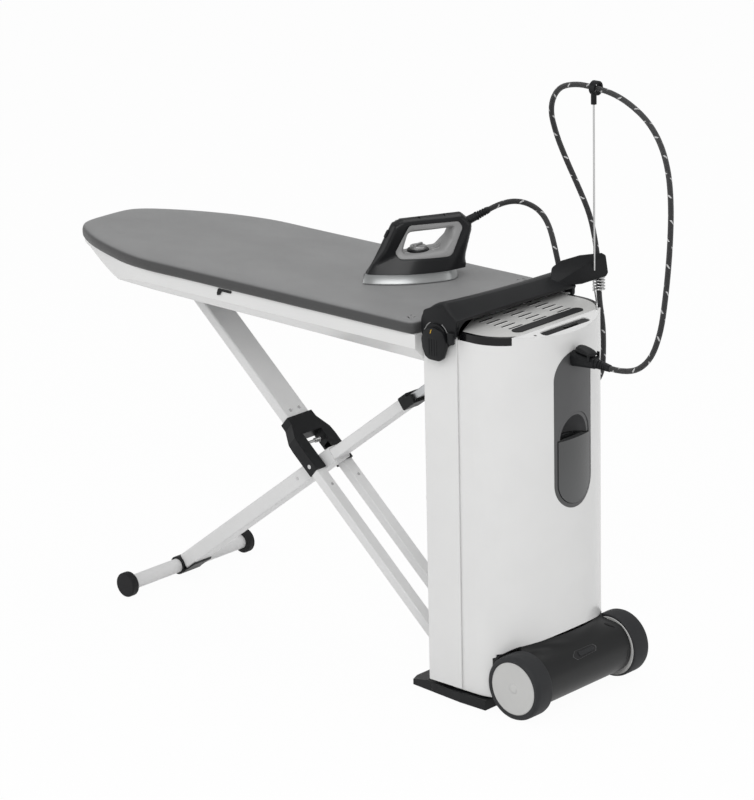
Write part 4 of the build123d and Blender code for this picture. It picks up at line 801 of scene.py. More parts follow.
def inside(point, outline):
    """True where a flat point lies within a closed outline."""
    hit = False
    for i, b in enumerate(outline):
        a = outline[i - 1]
        if (a.y > point.y) != (b.y > point.y):
            if point.x < a.x + (b.x - a.x) * (point.y - a.y) / (b.y - a.y):
                hit = not hit
    return hit


def gap_to(point, outline):
    """Shortest distance from a flat point to a closed outline."""
    best = 1e9
    for i, b in enumerate(outline):
        a = outline[i - 1]
        d = b - a
        t = max(0.0, min(1.0, (point - a).dot(d) / max(d.length_squared, 1e-12)))
        best = min(best, (a + d * t - point).length)
    return best


def in_face(point, outline, holes):
    """True within the outline and outside its holes."""
    return inside(point, outline) and not any(inside(point, hole) for hole in holes)


def fill_points(outline, holes, step, clear):
    """Staggered points of a face, all of them further than clear from its edges."""
    low_x = min(p.x for p in outline)
    high_x = max(p.x for p in outline)
    low_y = min(p.y for p in outline)
    high_y = max(p.y for p in outline)
    found = []
    for i in range(int((high_x - low_x) / step) + 1):
        for j in range(int((high_y - low_y) / step) + 1):
            p = Vector((low_x + (i + 0.5 * (j % 2)) * step, low_y + j * step))
            if in_face(p, outline, holes) and min(gap_to(p, loop) for loop in [outline, *holes]) > clear:
                found.append(p)
    return found


def face_mesh(outline, holes, step):
    """Flat triangles of a face with holes: its points and the corners of each triangle."""
    points = []
    edges = []
    for loop in [outline, *holes]:
        first = len(points)
        points += loop
        edges += [(first + i, first + (i + 1) % len(loop)) for i in range(len(loop))]
    points += fill_points(outline, holes, step, step * 0.45)
    flat, _, faces, _, _, _ = delaunay_2d_cdt(points, edges, [], 0, 1e-7)
    kept = []
    for face in faces:
        middle = sum((flat[k] for k in face), Vector((0, 0))) / len(face)
        if in_face(middle, outline, holes):
            kept.append(face)
    return flat, kept


def relief(outline, holes, step, depth, place):
    """A body drawn by its side view: depth gives its half width at each point, place puts it in the frame."""
    flat, faces = face_mesh(outline, holes, step)
    bm = bmesh.new()
    fronts = [bm.verts.new(place(p.x, -depth(p), p.y)) for p in flat]
    backs = [bm.verts.new(place(p.x, depth(p), p.y)) for p in flat]
    sides = []
    for face in faces:
        bm.faces.new([fronts[k] for k in face])
        bm.faces.new([backs[k] for k in reversed(face)])
        sides += zip(face, [*face[1:], face[0]])
    known = set(sides)
    for a, b in sides:
        if (b, a) not in known:
            bm.faces.new((fronts[b], fronts[a], backs[a], backs[b]))
    loose = [v for v in bm.verts if not v.link_faces]
    bmesh.ops.delete(bm, geom=loose, context="VERTS")
    return closed_mesh(bm)


def step_between(table, x):
    """Value on a smooth curve through a list of (x, value)."""
    last = len(table) - 1
    for i in range(last):
        (a, va), (b, vb) = table[i], table[i + 1]
        if x <= b:
            t = max(0.0, (x - a) / (b - a))
            before = table[max(i - 1, 0)]
            after = table[min(i + 2, last)]
            start = (vb - before[1]) / (b - before[0]) * (b - a)
            end = (after[1] - va) / (after[0] - a) * (b - a)
            bend = 3 * (vb - va) - 2 * start - end
            twist = 2 * (va - vb) + start + end
            return va + start * t + bend * t * t + twist * t ** 3
    return table[-1][1]


def ease(t):
    """Soft step from 0 to 1."""
    t = max(0.0, min(1.0, t))
    return t * t * (3 - 2 * t)


def arc(t):
    """Height of a quarter circle at a share t of its width."""
    return math.sqrt(1.0 - (1.0 - t) ** 2)


def soft_max(a, b, blend):
    """The larger of two values, with a soft change from one to the other."""
    return 0.5 * (a + b + math.sqrt((a - b) ** 2 + blend * blend))


def iron_half_width(p):
    """Half width of the iron's shell at a point of its side view, before its edges are rounded."""
    rise = max(0.0, p.y - IRON_FOOT)
    set_back = 0.571 * rise - 0.071 * soft_max(0.0, rise - 0.056, 0.01)
    low = step_between(SOLE_WIDTHS, p.x - set_back) - 0.0028 - 0.27 * rise
    grip = 0.0180 * ease(rise / 0.05) * ease((p.x - set_back + 0.004) / 0.024)
    return max(soft_max(low, grip, 0.005), 0.0012)


def dense(outline, step):
    """Adds points along the long edges of a closed outline."""
    out = []
    for i, p in enumerate(outline):
        q = outline[(i + 1) % len(outline)]
        parts = max(1, int((q - p).length / step))
        out += [p.lerp(q, k / parts) for k in range(parts)]
    return out


def deck_height(along, opening):
    """Height of the opening's lower edge at a place along the iron."""
    found = []
    for i, b in enumerate(opening):
        a = opening[i - 1]
        if min(a.x, b.x) <= along < max(a.x, b.x):
            found.append(a.y + (b.y - a.y) * (along - a.x) / (b.x - a.x))
    return min(found)


def iron_point(along, across, up):
    """A place on the iron in the shared frame."""
    return IRON_PLACE @ Vector((along, across, up))


def build_iron_shell(outline, window):
    """Black shell with rounded edges and a fine lip round its window."""
    upper = [p for p in outline if p.y > IRON_FOOT + 0.0004]

    def depth(p):
        edge = 0.0045 + 0.0065 * max(ease((p.y - 0.03) / 0.03), ease((p.x - 0.19) / 0.025))
        away = gap_to(p, upper if p.y > IRON_FOOT + 0.0004 else upper[-2:])
        top = min(1.0, max(0.0, p.y - 0.03) / 0.02)
        round_off = 1.0 - top * (1.0 - arc(min(1.0, away / edge))) * 0.92
        lip = min(1.0, gap_to(p, window) / 0.0012)
        return iron_half_width(p) * round_off - 0.0006 * (1.0 - lip)

    shell = relief(outline, [window], 0.0034, depth, iron_point)
    made = add(shell, "iron_shell", "iron_black", "iron", angle=42)
    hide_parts("iron_body")


def build_iron_surround(window, opening):
    """Grey surround of the handle's opening, sunk a little inside its outer edge."""
    outline = shrink(window, 0.0004)

    def depth(p):
        t = min(1.0, gap_to(p, opening) / 0.006)
        away = gap_to(p, outline)
        seam = 1.0 - min(1.0, away / 0.0015)
        dish = 0.0022 * min(1.0, away / 0.010) * (1.0 if p.y > 0.064 else 0.4)
        wide = iron_half_width(p) - 0.0012
        return wide - 0.0055 * (1.0 - arc(t)) - 0.0008 * seam - dish * (1.0 - 0.5 * t)

    surround = relief(outline, [opening], 0.0036, depth, iron_point)
    made = add(surround, "iron_surround", "iron_grey", "iron", angle=42)
    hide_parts("iron_frame")


def sole_plan():
    """The sole's outline seen from above."""
    half = []
    for i in range(41):
        along = SOLE_LENGTH * (1 - math.cos(math.pi * i / 40)) / 2
        wide = step_between(SOLE_WIDTHS, along)
        if along > HEEL_AT:
            wide *= min(1.0, math.sqrt(max(0.0, 1 - ((along - HEEL_AT) / HEEL_TURN) ** 2)))
        half.append((along, wide))
    half = soften(half)
    return [Vector((a, w)) for a, w in half] + [Vector((a, -w)) for a, w in reversed(half[1:-1])]


def soften(table):
    """Smooths a list of (x, value) but keeps its ends."""
    for _ in range(4):
        inner = [(x, 0.25 * table[i][1] + 0.5 * v + 0.25 * table[i + 2][1])
                 for i, (x, v) in enumerate(table[1:-1])]
        table = [table[0], *inner, table[-1]]
    return table


def build_iron():
    """Sole, black shell, grey surround with its opening, dial, button and hose sleeve."""
    shell_line = dense(rounded(IRON_SIDE, [0, 0.03, 0.016, 0.012, 0.012, 0.012, 0.012, 0.002], 7), 0.003)
    window = dense(rounded(IRON_WINDOW, [0.012, 0.014, 0.010, 0.018, 0.012, 0.010], 7), 0.003)
    opening = dense(rounded(IRON_OPENING, [0.012, 0.003, 0.012, 0.012, 0.008], 6), 0.003)
    build_iron_shell(shell_line, window)
    build_iron_surround(window, opening)
    plan = sole_plan()
    rings = [[iron_point(p.x, p.y, up) for p in shrink(plan, inset)] for inset, up in SOLE_LAYERS]
    made = add(skin(rings), "iron_sole_plate", "sole_metal", "iron", angle=30)
    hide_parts("iron_sole")
    build_iron_button()
    build_dial(opening)
    build_sleeve()


def build_iron_button():
    """Steam button on the slope in front of the handle."""
    low = Vector(IRON_SIDE[1])
    high = Vector(IRON_SIDE[2])
    along = (high - low).normalized()
    out = Vector((-along.y, along.x))
    middle = low.lerp(high, 0.56)
    pill = rounded([(-0.0095, -0.0052), (0.0095, -0.0052), (0.0095, 0.0052), (-0.0095, 0.0052)], 0.005, 6)

    def place(u, v, w):
        spot = middle + along * u + out * (w - 0.0030)
        return iron_point(spot.x, v, spot.y)

    button = plate(pill, place, 0.0050, 0.0014)
    made = add(button, "iron_steam_button", "black_plastic", "iron_button", angle=38)
    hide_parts("iron_button")


def fluted_knob(centre):
    """The dial's round knob with its flutes."""
    rings = []
    for r, up, flute in DIAL_KNOB:
        ring = []
        for k in range(144):
            a = 2 * math.pi * k / 144
            wave = r - 0.0005 * flute * (0.5 - 0.5 * math.cos(24 * a))
            ring.append(centre + Vector((math.cos(a) * max(wave, 1e-5), math.sin(a) * max(wave, 1e-5), up)))
        rings.append(ring)
    return skin(rings)


def deck_stroke(start, end, wide, opening):
    """A pale tapering stroke that lies on the deck beside the dial."""
    a = Vector(start)
    b = Vector(end)
    side = Vector((a.y - b.y, b.x - a.x)).normalized() * wide
    line = dense(rounded([a - side, b - side * 0.4, b + side * 0.4, a + side], 0.0004, 3), 0.002)
    return plate(line, lambda u, v, w: iron_point(u, v, deck_height(u, opening) - 0.0002 + w), 0.0012)


def build_dial(opening):
    """Fluted silver knob on a dark ring, with pale strokes on the deck."""
    centre = iron_point(DIAL_AT, 0, DECK_UP)
    made = add(lathe(DIAL_BASE, centre, (0, 0, 1)), "iron_dial_ring", "black_plastic", "iron", angle=30)
    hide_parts("iron_dial_base")
    knob = fluted_knob(centre)
    bar = rounded([(-0.0145, -0.0035), (0.0145, -0.0035), (0.0145, 0.0035), (-0.0145, 0.0035)], 0.0034, 5)
    turn = Matrix.Rotation(math.radians(95), 4, "Z")
    grip = plate(bar, lambda u, v, w: centre + turn @ Vector((u, v, 0.0105 + w)), 0.0042, 0.0012)
    made = add(merged(knob, grip), "iron_dial_knob", "dial_silver", "iron_dial", angle=30)
    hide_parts("iron_dial")
    strokes = [deck_stroke(start, end, wide, opening) for start, end, wide in DECK_STROKES]
    add(merged(*strokes), "iron_dial_strokes", "mark_white", "iron", angle=30)


def build_sleeve():
    """Ribbed sleeve where the hose leaves the iron's heel."""
    a = iron_point(0.240, 0, 0.1167)
    b = iron_point(0.290, 0, 0.137)
    heading = (b - a).normalized()
    long = (b - a).length
    profile = [(0.0, 0.0), (0.0094, 0.0), (0.0093, 0.010), (0.0088, 0.0205), (0.0098, 0.0215),
               (0.0098, 0.0250)]
    for k in range(4):
        here = 0.0262 + 0.0058 * k
        profile += [(0.0070, here), (0.0070, here + 0.0014), (0.0090 - 0.0003 * k, here + 0.0018),
                    (0.0088 - 0.0003 * k, here + 0.0048)]
    profile += [(0.0068, long), (0.0, long)]
    made = add(lathe(profile, a, heading, 40), "iron_hose_sleeve", "black_plastic", "iron", angle=40)
    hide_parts("iron_sleeve")


def cap_section(y):
    """Rail section at y: a round back, a ridge and a sloping front down to the lip."""
    t = min(1.0, (y - CAP_NEAR) / CAP_TURN)
    ridge = step_between(CAP_RIDGE, y)
    lip = step_between(CAP_LIP, y)
    ridge = lip + (ridge - lip) * (0.68 + 0.32 * arc(t))
    points = [Vector((CAP_LIP_X - back, y, CAP_FOOT + (ridge - CAP_FOOT) * rise)) for back, rise in CAP_BACK]
    points += [Vector((CAP_LIP_X - 0.0060, y, lip + 0.0052)), Vector((CAP_LIP_X, y, lip + 0.0012)),
               Vector((CAP_LIP_X - 0.0012, y, lip - 0.0030))]
    return points


def cap_ring(y):
    """Outer and inner face of the rail at y; the rail is solid at its two ends."""
    outer = smooth_line(cap_section(y), 4)
    inner = []
    for p in reversed(outer):
        if abs(y) > CAP_SOLID_END:
            inner.append(Vector((p.x * 0.96 - 0.0016, p.y, CAP_LOW)))
        else:
            inner.append(Vector((p.x * 0.90 - 0.0040, p.y, CAP_LOW + max(0.0, p.z - CAP_FOOT) * 0.80)))
    return outer + inner


def gusset_mesh():
    """Web between the rail's front and its far lug, with a round edge."""
    web = [Vector((-0.1842, 0.822))]
    for k in range(9):
        a = math.pi / 2 * k / 8
        web.append(Vector((-0.1842 + 0.046 * (1 - math.cos(a)), 0.8225 + 0.0285 * math.sin(a))))
    web.append(Vector((-0.1842, 0.855)))
    return plate(web, lambda u, v, w: Vector((0.0062 - w, u, v)), 0.0080, 0.0010)


def build_cap_rail():
    """Long black rail over the board's end with its lugs, arm, clip, lock knob and scale."""
    first = CAP_NEAR + 0.0015
    stations = [first + CAP_TURN * (1 - math.cos(math.pi / 2 * k / 12)) for k in range(13)]
    stations += [first + CAP_TURN + (CAP_FAR - first - 0.0235) * k / 40 for k in range(1, 41)]
    rail = skin([cap_ring(y) for y in stations])
    near = plate(lug_outline(0.786), lambda u, v, w: Vector((u, CAP_NEAR + w, v)), 0.0098, 0.0024)
    far = plate(lug_outline(0.822), lambda u, v, w: Vector((u, CAP_FAR - w, v)), 0.0098, 0.0024)
    pieces = merged(rail, near, far, gusset_mesh(), arm_mesh(), clip_mesh())
    made = add(pieces, "board_end_rail", "black_plastic", "lift", angle=38)
    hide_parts("cap_rail")
    build_knob()


def smooth_line(points, between):
    """Points of a Catmull-Rom curve through a list of points."""
    out = []
    for i in range(len(points) - 1):
        p0 = points[max(i - 1, 0)]
        p1 = points[i]
        p2 = points[i + 1]
        p3 = points[min(i + 2, len(points) - 1)]
        for k in range(between):
            t = k / between
            out.append(0.5 * (2 * p1 + (p2 - p0) * t + (2 * p0 - 5 * p1 + 4 * p2 - p3) * t * t
                              + (3 * p1 - p0 - 3 * p2 + p3) * t ** 3))
    out.append(points[-1])
    return out


def lug_outline(low):
    """Side view of a lug, with the rail's rounded shoulder at its top."""
    points = [(-0.0905, 0.835), (-0.0905, 0.820), (-0.084, low), (-0.026, low), (-0.015, max(low, 0.797)),
              (0.0050, 0.820), (0.0055, 0.838), (0.0082, 0.852), (-0.024, 0.8745), (-0.054, 0.8765),
              (-0.083, 0.864)]
    if low > 0.81:
        points = [(-0.0905, 0.835), (-0.0905, low), (0.0060, low), (0.0060, 0.846), (-0.020, 0.856),
                  (-0.060, 0.858), (-0.085, 0.850)]
    return rounded(points, 0.008, 5)


def arm_mesh():
    """Leaning plate on the far end of the rail that carries the hose holder."""
    outline = [(-0.094, -0.046), (-0.086, -0.020), (-0.066, -0.008), (-0.020, 0.0), (0.030, 0.0),
               (0.0385, -0.006), (0.0375, -0.044), (0.032, -0.051), (-0.0245, -0.062), (-0.094, -0.062)]
    line = rounded(outline, [0.01, 0.012, 0.03, 0.02, 0.006, 0.006, 0.006, 0.006, 0.01, 0.002], 6)
    turn = Matrix.Rotation(math.radians(-30), 4, "Z") @ Matrix.Rotation(math.radians(-26), 4, "Y")
    frame_at = Matrix.Translation((0.0081, 0.2365, 0.905)) @ turn
    return plate(line, lambda u, v, w: frame_at @ Vector((-w, u, v)), 0.007, 0.0018)


def clip_mesh():
    """Small block under the rail's near lug."""
    outline = rounded([(-0.0115, 0.804), (0.0045, 0.804), (0.0045, 0.829), (-0.0115, 0.829)], 0.003, 4)
    return plate(outline, lambda u, v, w: Vector((u, CAP_NEAR - 0.008 + w, v)), 0.0085, 0.0016)


def scale_mesh(centre):
    """Two arcs of the height scale and a dot at each outer end."""
    marks = []
    for start, end in ((118, 155), (25, 62)):
        line = []
        for r, order in ((0.0342, 1), (0.0326, -1)):
            for k in range(9)[::order]:
                a = math.radians(start + (end - start) * k / 8)
                line.append(Vector((math.cos(a) * r, math.sin(a) * r)))
        marks.append(plate(line, lambda u, v, w: centre + Vector((u, 0.0002 - w, v)), 0.0008))
    for angle in (160, 20):
        a = math.radians(angle)
        dot = centre + Vector((math.cos(a) * 0.034, 0.0, math.sin(a) * 0.034))
        marks.append(lathe([(0.0, 0.0), (0.0019, 0.0), (0.0017, 0.0006), (0.0, 0.0007)], dot, (0, -1, 0), 20))
    return merged(*marks)


def build_knob():
    """Turning grip of the height lock: disc, fluted grip, scale arcs and tick."""
    centre = Vector(KNOB_AT)
    disc = lathe([(0.0, 0.0002), (0.0298, 0.0002), (0.0300, 0.0032), (0.0290, 0.0046), (0.0, 0.0050)], centre,
                 (0, -1, 0), 72)
    shape = [(-0.025, 0.016), (-0.033, -0.004), (-0.031, -0.024), (-0.023, -0.042), (-0.011, -0.048),
             (0.015, -0.048), (0.027, -0.040), (0.034, -0.020), (0.035, -0.002), (0.026, 0.017), (0.0, 0.024)]
    line = rounded(shape, 0.012, 5)
    grip = plate(line, lambda u, v, w: centre + Vector((u, -0.0128 + w, v)), 0.0112, 0.0032)
    made = add(merged(disc, grip), "height_lock_grip", "black_plastic", "lock_knob", angle=38)
    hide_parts("lock_knob")
    flute = rounded([(-0.0012, -0.030), (0.0012, -0.030), (0.0012, 0.006), (-0.0012, 0.006)], 0.0011, 3)
    rib = plate(flute, lambda u, v, w: centre + Vector((u - 0.0105, -0.0136 + w, v - 0.008)), 0.0022, 0.0005)
    repeat(rib, "height_lock_flutes", "black_plastic", "lock_knob", count=4, step=(0.007, 0, 0))
    add(scale_mesh(centre), "height_scale", "mark_grey", "lift", angle=30)
    tick = [Vector(p) for p in ((-0.001, 0.012), (0.0012, 0.0125), (0.0042, 0.0215), (0.0018, 0.0205))]
    tick = plate(tick, lambda u, v, w: centre + Vector((u - 0.006, -0.0126 - w, v - 0.002)), 0.0006)
    add(tick, "height_tick", "mark_yellow", "lock_knob", angle=30)


def build_wheels():
    """Soft tyres with a light dished cap outside and a slotted light ring inside."""
    bar = rounded([(0.0470, -0.0011), (0.0568, -0.0011), (0.0568, 0.0011), (0.0470, 0.0011)], 0.0005, 2)
    for side, name in ((-1, "near"), (1, "far")):
        at = Vector((WHEEL_X, WHEEL_Y * side, WHEEL_Z))
        axis = Vector((0, -side, 0))
        wheel = name + "_wheel"
        made = add(closed_lathe(TYRE, at, axis), wheel + "_tyre", "tyre_grey", wheel, angle=30)
        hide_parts(name + "_tyre")
        hub = merged(lathe(WHEEL_CAP, at, axis), closed_lathe(WHEEL_RING, at, axis))
        made = add(hub, wheel + "_cap", "hub_grey", wheel, angle=30)
        spoke = plate(bar, lambda u, v, w: Vector((u, v, 0.0455 + w)), 0.0040, 0.0004)
        place = Matrix.Translation(at) @ Vector((0, 0, 1)).rotation_difference(axis).to_matrix().to_4x4()
        repeat(spoke, wheel + "_spokes", "hub_grey", wheel, place, count=SPOKES, turn=2 * math.pi / SPOKES)


def column_end(y):
    """The column's outer surface: x at a place across it, on its wide arc or on the corner's arc."""
    y = abs(y)
    if y <= 0.1383:
        return -0.069 + math.sqrt(0.234 ** 2 - y * y)
    return 0.0375 + math.sqrt(max(0.0, 0.102 ** 2 - (y - 0.078) ** 2))


def drum_section(angle, r):
    """Point of the drum's cross-section: angle up from its outermost place, r from its middle."""
    return Vector((WHEEL_X + r * math.cos(angle), DRUM_Z + r * math.sin(angle)))


def saddle_ring(y):
    """Outline of the saddle at y: from the column's seam on to the drum, round it and back."""
    x = column_end(y) + SADDLE_PROUD
    z = step_between(SEAM, abs(y))
    r = 0.0606 + 0.0004 * min(1.0, (SADDLE_HALF - abs(y)) / 0.004)
    start = Vector((x, z))
    meet = drum_section(SADDLE_TOUCH, r)
    reach = (meet - start).length
    b = start + Vector((0.12, -1.0)).normalized() * reach * 0.35
    c = meet + Vector((-math.sin(SADDLE_TOUCH), math.cos(SADDLE_TOUCH))) * reach * 0.42
    line = [bezier(start, b, c, meet, t / 14) for t in range(14)]
    line += [drum_section(SADDLE_TOUCH - (SADDLE_TOUCH + SADDLE_END) * t / 36, r) for t in range(37)]
    line += [Vector((0.090, 0.030)), Vector((0.088, 0.080)), Vector((x - 0.012, 0.120)),
             Vector((x - 0.006, z - 0.004))]
    return [Vector((p.x, y, p.y)) for p in line]


def saddle_wing(side):
    """Strip that carries the saddle's top edge on round the column, over one wheel."""
    rows = []
    for k in range(13):
        y = 0.1335 + 0.0385 * k / 12
        x = column_end(y) + SADDLE_PROUD
        z = step_between(SEAM, y)
        low = WHEEL_Z + math.sqrt(max(0.0, WHEEL_ARCH ** 2 - (x - WHEEL_X) ** 2))
        low = min(low, z - 0.001)
        across = y * side
        rows.append([Vector((x, across, z)), Vector((x, across, low)),
                     Vector((x - 0.020, across, low - 0.004)), Vector((x - 0.020, across, z))])
    return skin(rows)


def build_axle_housing():
    """Saddle that flows from the column's seam round the axle, drawn section by section."""
    rings = [saddle_ring(-SADDLE_HALF + 2 * SADDLE_HALF * k / 60) for k in range(61)]
    saddle = skin(rings)
    wings = [saddle_wing(side) for side in (-1, 1)]
    made = add(merged(saddle, *wings), "axle_saddle", "satin_black", "column", angle=50)
    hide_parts("axle_housing")
    build_latch()


def drum_plate(line, sunk, thick, bevel=0.0):
    """A thin plate bent on to the drum; its outline is across and up from the latch's middle."""
    def place(u, v, w):
        spot = drum_section(LATCH_ANGLE + v / DRUM_RADIUS, DRUM_RADIUS + (w - sunk))
        return Vector((spot.x, LATCH_Y + u, spot.y))

    return plate(line, place, thick, bevel)


def build_latch():
    """Release latch: a slim rounded tab in a slot of painted shade with a painted highlight on its edge, and
    two small marks of painted shade.
    """
    slot = rounded([(-0.038, 0.0), (-0.027, -0.0095), (0.031, -0.0070), (0.038, 0.0010), (0.031, 0.0085),
                    (-0.025, 0.0095)], 0.004, 4)
    slot = dense(slot, 0.003)
    rim = [p * 1.06 for p in slot]
    # painted highlight: a grey rim round the slot's edge
    add(drum_plate(rim, 0.0010, 0.0012), "latch_rim_painted_highlight", "grey_panel", "column", angle=50)
    # painted shade: dark plates in the drum's groove and slot
    for name, patch in DRUM_PAINTED_SHADE.items():
        line = dense(rounded([(u - LATCH_Y, v) for u, v in patch], 0.0015, 3), 0.003)
        add(drum_plate(line, 0.0009, 0.0013), name, "inner_dark", "column", angle=50)
    # painted shade: a dark plate in the slot round the tab
    add(drum_plate(slot, 0.0006, 0.0010), "latch_slot_painted_shade", "inner_dark", "column", angle=50)
    tab = [(-0.020, -0.0048), (0.026, -0.0040), (0.031, 0.0), (0.026, 0.0048), (-0.020, 0.0052)]
    tab = dense(rounded(tab, 0.003, 4), 0.003)
    made = add(drum_plate(tab, 0.0002, 0.0024, 0.0007), "latch_tab", "tyre_grey", "column", angle=50)
    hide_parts("release_latch")


def fill_slots(outline, name, finish, up, thick):
    """Repeats a thin piece in each slot of the iron's rest plate."""
    piece = plate(outline, lambda u, v, w: Vector((SLOT_FIRST + u, v - SLOT_GROUP, up + w)), thick)
    repeat(piece, name, finish, "column", count=3, step=(0, SLOT_GROUP, 0), rows=5,
           row_step=(SLOT_PITCH, 0, 0))


def build_plate_slots():
    """Painted shade as a dark floor and a painted highlight as a bright lip in the slots of the iron's rest
    plate.
    """
    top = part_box("iron_rest_plate")[1][2]
    slot = rounded([(-SLOT_WIDE, -SLOT_LONG), (SLOT_WIDE, -SLOT_LONG), (SLOT_WIDE, SLOT_LONG),
                    (-SLOT_WIDE, SLOT_LONG)], SLOT_WIDE * 0.98, 6)
    # painted shade: a dark plate just under the top in each slot
    fill_slots(slot, "rest_plate_slots", "inner_dark", top - 0.0012, 0.0013)
    # painted highlight: a pale strip along one side of each slot
    lip = rounded([(SLOT_WIDE, -SLOT_LONG), (SLOT_WIDE + 0.0024, -SLOT_LONG + 0.001),
                   (SLOT_WIDE + 0.0024, SLOT_LONG - 0.003), (SLOT_WIDE, SLOT_LONG - 0.002)], 0.0004, 3)
    fill_slots(lip, "rest_plate_slot_edges", "bright_edge", top - 0.0003, 0.0005)


def build_lever():
    """Domed release lever over the steam plug, lofted from its hinge to its lip."""
    low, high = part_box("plug_lever")
    base = [(0.0, high[2] - 0.0125), (0.6, high[2] - 0.0148), (1.0, high[2] - 0.0188)]
    half = (high[1] - low[1]) / 2 + 0.0010
    rings = []
    for k in range(25):
        s = k / 24
        swell = max(0.02, (1 - abs(2 * s - 1) ** 3) ** (1 / 3))
        foot = step_between(base, s)
        rise = 0.0135 * (1 - 0.5 * s) * swell
        x = low[0] - 0.0005 + (high[0] - low[0] + 0.0005) * s
        ring = []
        for n in range(32):
            a = 2 * math.pi * n / 32
            up = math.sin(a)
            lift = rise * up ** 0.8 if up > 0 else 0.0018 * up * swell
            ring.append(Vector((x, half * swell * math.cos(a), foot + lift)))
        rings.append(ring)
    made = add(skin(rings), "plug_release_lever", "black_plastic", "plug_lever", angle=60)
    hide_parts("plug_lever")


def build_floor():
    """Pale floor that looks white to the camera and still takes shadows."""
    shade = Shade("studio_floor")
    shade.tree.nodes.remove(shade.bsdf)
    diffuse = shade.node("BsdfDiffuse", {}, {"Color": (0.86, 0.86, 0.86)})
    flat = shade.node("Emission", {}, {"Color": (1.0, 1.0, 1.0), "Strength": 1.0})
    path = shade.node("LightPath", out="Is Camera Ray")
    glossy = shade.node("LightPath", out="Is Glossy Ray")
    share = path * 0.965 + glossy * 0.6
    both = shade.node("MixShader", {}, {0: share, 1: diffuse, 2: flat})
    shade.tree.links.new(both.out, shade.tree.nodes["Material Output"].inputs["Surface"])
    bm = bmesh.new()
    bm.faces.new([bm.verts.new(p) for p in ((-14, -14, 0), (14, -14, 0), (14, 14, 0), (-14, 14, 0))])
    mesh = to_mesh(bm)
    mesh.name = "floor"
    floor = put_in_scene("studio_floor", mesh)
    mesh.materials.append(shade.material)


def build_world():
    """White world that is brighter to the camera than as a light."""
    world = bpy.data.worlds.new("studio_world")
    world.use_nodes = True
    bpy.context.scene.world = world
    tree = world.node_tree
    back = tree.nodes["Background"]
    back.inputs["Color"].default_value = (1, 1, 1, 1)
    back.inputs["Strength"].default_value = 0.52
    seen = tree.nodes.new("ShaderNodeBackground")
    seen.inputs["Color"].default_value = (1, 1, 1, 1)
    seen.inputs["Strength"].default_value = 1.0
    path = tree.nodes.new("ShaderNodeLightPath")
    mix = tree.nodes.new("ShaderNodeMixShader")
    tree.links.new(path.outputs["Is Camera Ray"], mix.inputs[0])
    tree.links.new(back.outputs[0], mix.inputs[1])
    tree.links.new(seen.outputs[0], mix.inputs[2])
    tree.links.new(mix.outputs[0], tree.nodes["World Output"].inputs["Surface"])


def soft_box(name, place, target, size, power):
    """A square lamp at a place, turned towards its target."""
    light = bpy.data.lights.new(name, "AREA")
    light.shape = "SQUARE"
    light.size = size
    light.energy = power * bpy.context.scene.ironing.studio_light
    made = put_in_scene(name, light)
    made.location = place
    made.rotation_euler = (Vector(target) - Vector(place)).to_track_quat("-Z", "Y").to_euler()


def build_stage():
    """Pale floor, white backdrop seen by the camera, soft boxes above and beside."""
    build_floor()
    build_world()
    soft_box("key_box", (2.2, -3.2, 3.6), (-0.2, 0, 0.6), 2.6, 70)
    soft_box("side_box", (4.4, 1.6, 2.0), (0.1, 0, 0.5), 2.2, 14)
    soft_box("fill_box", (-3.4, -3.4, 2.4), (-0.6, 0, 0.5), 3.0, 34)
    soft_box("top_box", (-0.2, 0.8, 4.2), (-0.3, 0, 0.6), 2.6, 30)


class IroningSettings(bpy.types.PropertyGroup):
    """Colours and sizes that a user may change before building the pieces"""
    shell_colour: bpy.props.FloatVectorProperty(
        name="Shell", description="Colour of the column's white shell", subtype="COLOR", size=3,
        min=0.0, max=1.0, default=(0.82, 0.82, 0.815))
    plastic_colour: bpy.props.FloatVectorProperty(
        name="Plastic", description="Colour of the black moulded parts", subtype="COLOR", size=3,
        min=0.0, max=1.0, default=(0.0085, 0.009, 0.010))
    cover_colour: bpy.props.FloatVectorProperty(
        name="Cover", description="Colour of the board's stretched cover", subtype="COLOR", size=3,
        min=0.0, max=1.0, default=(0.265, 0.266, 0.268))
    hose_width: bpy.props.FloatProperty(
        name="Hose width", description="Outer width of the braided hoses", unit="LENGTH", min=0.008,
        max=0.016, default=HOSE_D)
    studio_light: bpy.props.FloatProperty(
        name="Studio light", description="Share of the soft boxes' full power", subtype="FACTOR", min=0.0,
        max=2.0, default=1.0)


class PieceOperator:
    bl_options = {"REGISTER", "UNDO"}


class IRONING_OT_camera(PieceOperator, bpy.types.Operator):
    """Places the camera as the photograph was taken"""
    bl_idname = "ironing.camera"
    bl_label = "Camera"

    def execute(self, context):
        build_camera()
        return {"FINISHED"}


class IRONING_OT_finishes(PieceOperator, bpy.types.Operator):
    """Makes the materials and gives them to the carried-over solids"""
    bl_idname = "ironing.finishes"
    bl_label = "Finishes"

    def execute(self, context):
        make_finishes()
        dress_nodes()
        return {"FINISHED"}


class IRONING_OT_hoses(PieceOperator, bpy.types.Operator):
    """Lays the braided steam hose and the iron's hose"""
    bl_idname = "ironing.hoses"
    bl_label = "Hoses"

    def execute(self, context):
        build_hoses()
        return {"FINISHED"}


class IRONING_OT_pad(PieceOperator, bpy.types.Operator):
    """Makes the padded board cover"""
    bl_idname = "ironing.pad"
    bl_label = "Board pad"

    def execute(self, context):
        build_board_pad()
        return {"FINISHED"}


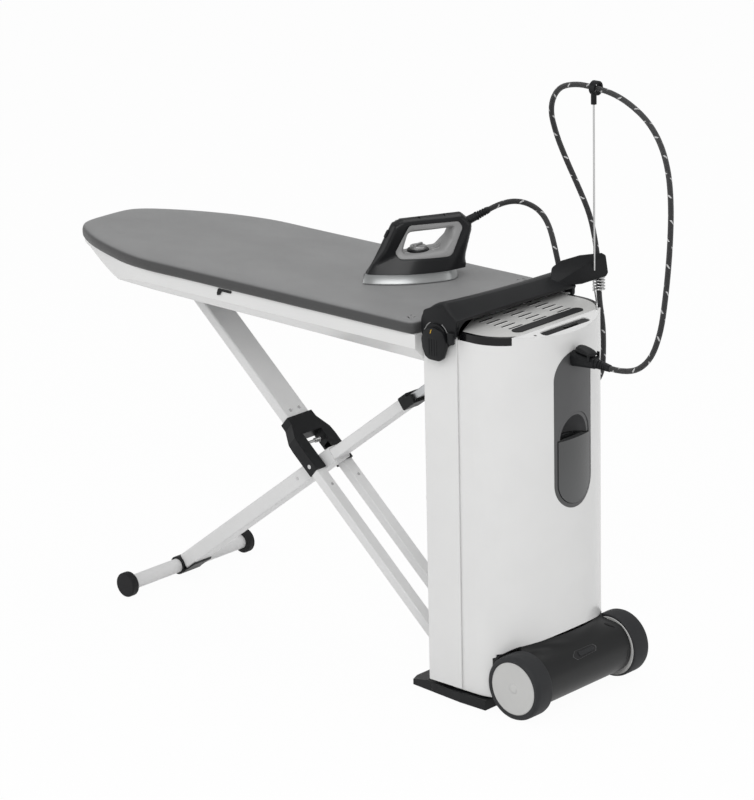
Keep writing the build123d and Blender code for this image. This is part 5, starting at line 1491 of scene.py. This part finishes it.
class IRONING_OT_iron(PieceOperator, bpy.types.Operator):
    """Makes the iron with its sole, shell, surround, dial and sleeve"""
    bl_idname = "ironing.iron"
    bl_label = "Iron"

    def execute(self, context):
        build_iron()
        return {"FINISHED"}


class IRONING_OT_rail(PieceOperator, bpy.types.Operator):
    """Makes the rail over the board's end and the lock knob"""
    bl_idname = "ironing.rail"
    bl_label = "Rail and lock knob"

    def execute(self, context):
        build_cap_rail()
        build_lever()
        return {"FINISHED"}


class IRONING_OT_wheels(PieceOperator, bpy.types.Operator):
    """Makes the wheels and the axle saddle"""
    bl_idname = "ironing.wheels"
    bl_label = "Wheels and axle saddle"

    def execute(self, context):
        build_wheels()
        build_axle_housing()
        build_plate_slots()
        return {"FINISHED"}


class IRONING_OT_stage(PieceOperator, bpy.types.Operator):
    """Sets up the floor, the white surround and the soft boxes"""
    bl_idname = "ironing.stage"
    bl_label = "Stage"

    def execute(self, context):
        build_stage()
        return {"FINISHED"}


OPERATORS = [IRONING_OT_camera, IRONING_OT_finishes, IRONING_OT_hoses, IRONING_OT_pad, IRONING_OT_iron,
             IRONING_OT_rail, IRONING_OT_wheels, IRONING_OT_stage]


class IRONING_PT_panel(bpy.types.Panel):
    """Lists the pieces in building order"""
    bl_idname = "IRONING_PT_panel"
    bl_label = "Steam ironing system"
    bl_space_type = "VIEW_3D"
    bl_region_type = "UI"
    bl_category = "Ironing"

    def draw(self, context):
        for name in IroningSettings.__annotations__:
            self.layout.prop(context.scene.ironing, name)
        for kind in OPERATORS:
            self.layout.operator(kind.bl_idname)


def register():
    for kind in [IroningSettings, *OPERATORS, IRONING_PT_panel]:
        bpy.utils.register_class(kind)
    bpy.types.Scene.ironing = bpy.props.PointerProperty(type=IroningSettings)


def unregister():
    del bpy.types.Scene.ironing
    for kind in reversed([IroningSettings, *OPERATORS, IRONING_PT_panel]):
        bpy.utils.unregister_class(kind)


def main():
    """Registers the add-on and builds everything."""
    register()
    for kind in OPERATORS:
        group, name = kind.bl_idname.split(".")
        getattr(getattr(bpy.ops, group), name)()
    view = bpy.context.scene.view_settings
    view.view_transform = "Standard"


if __name__ == "__main__":
    main()
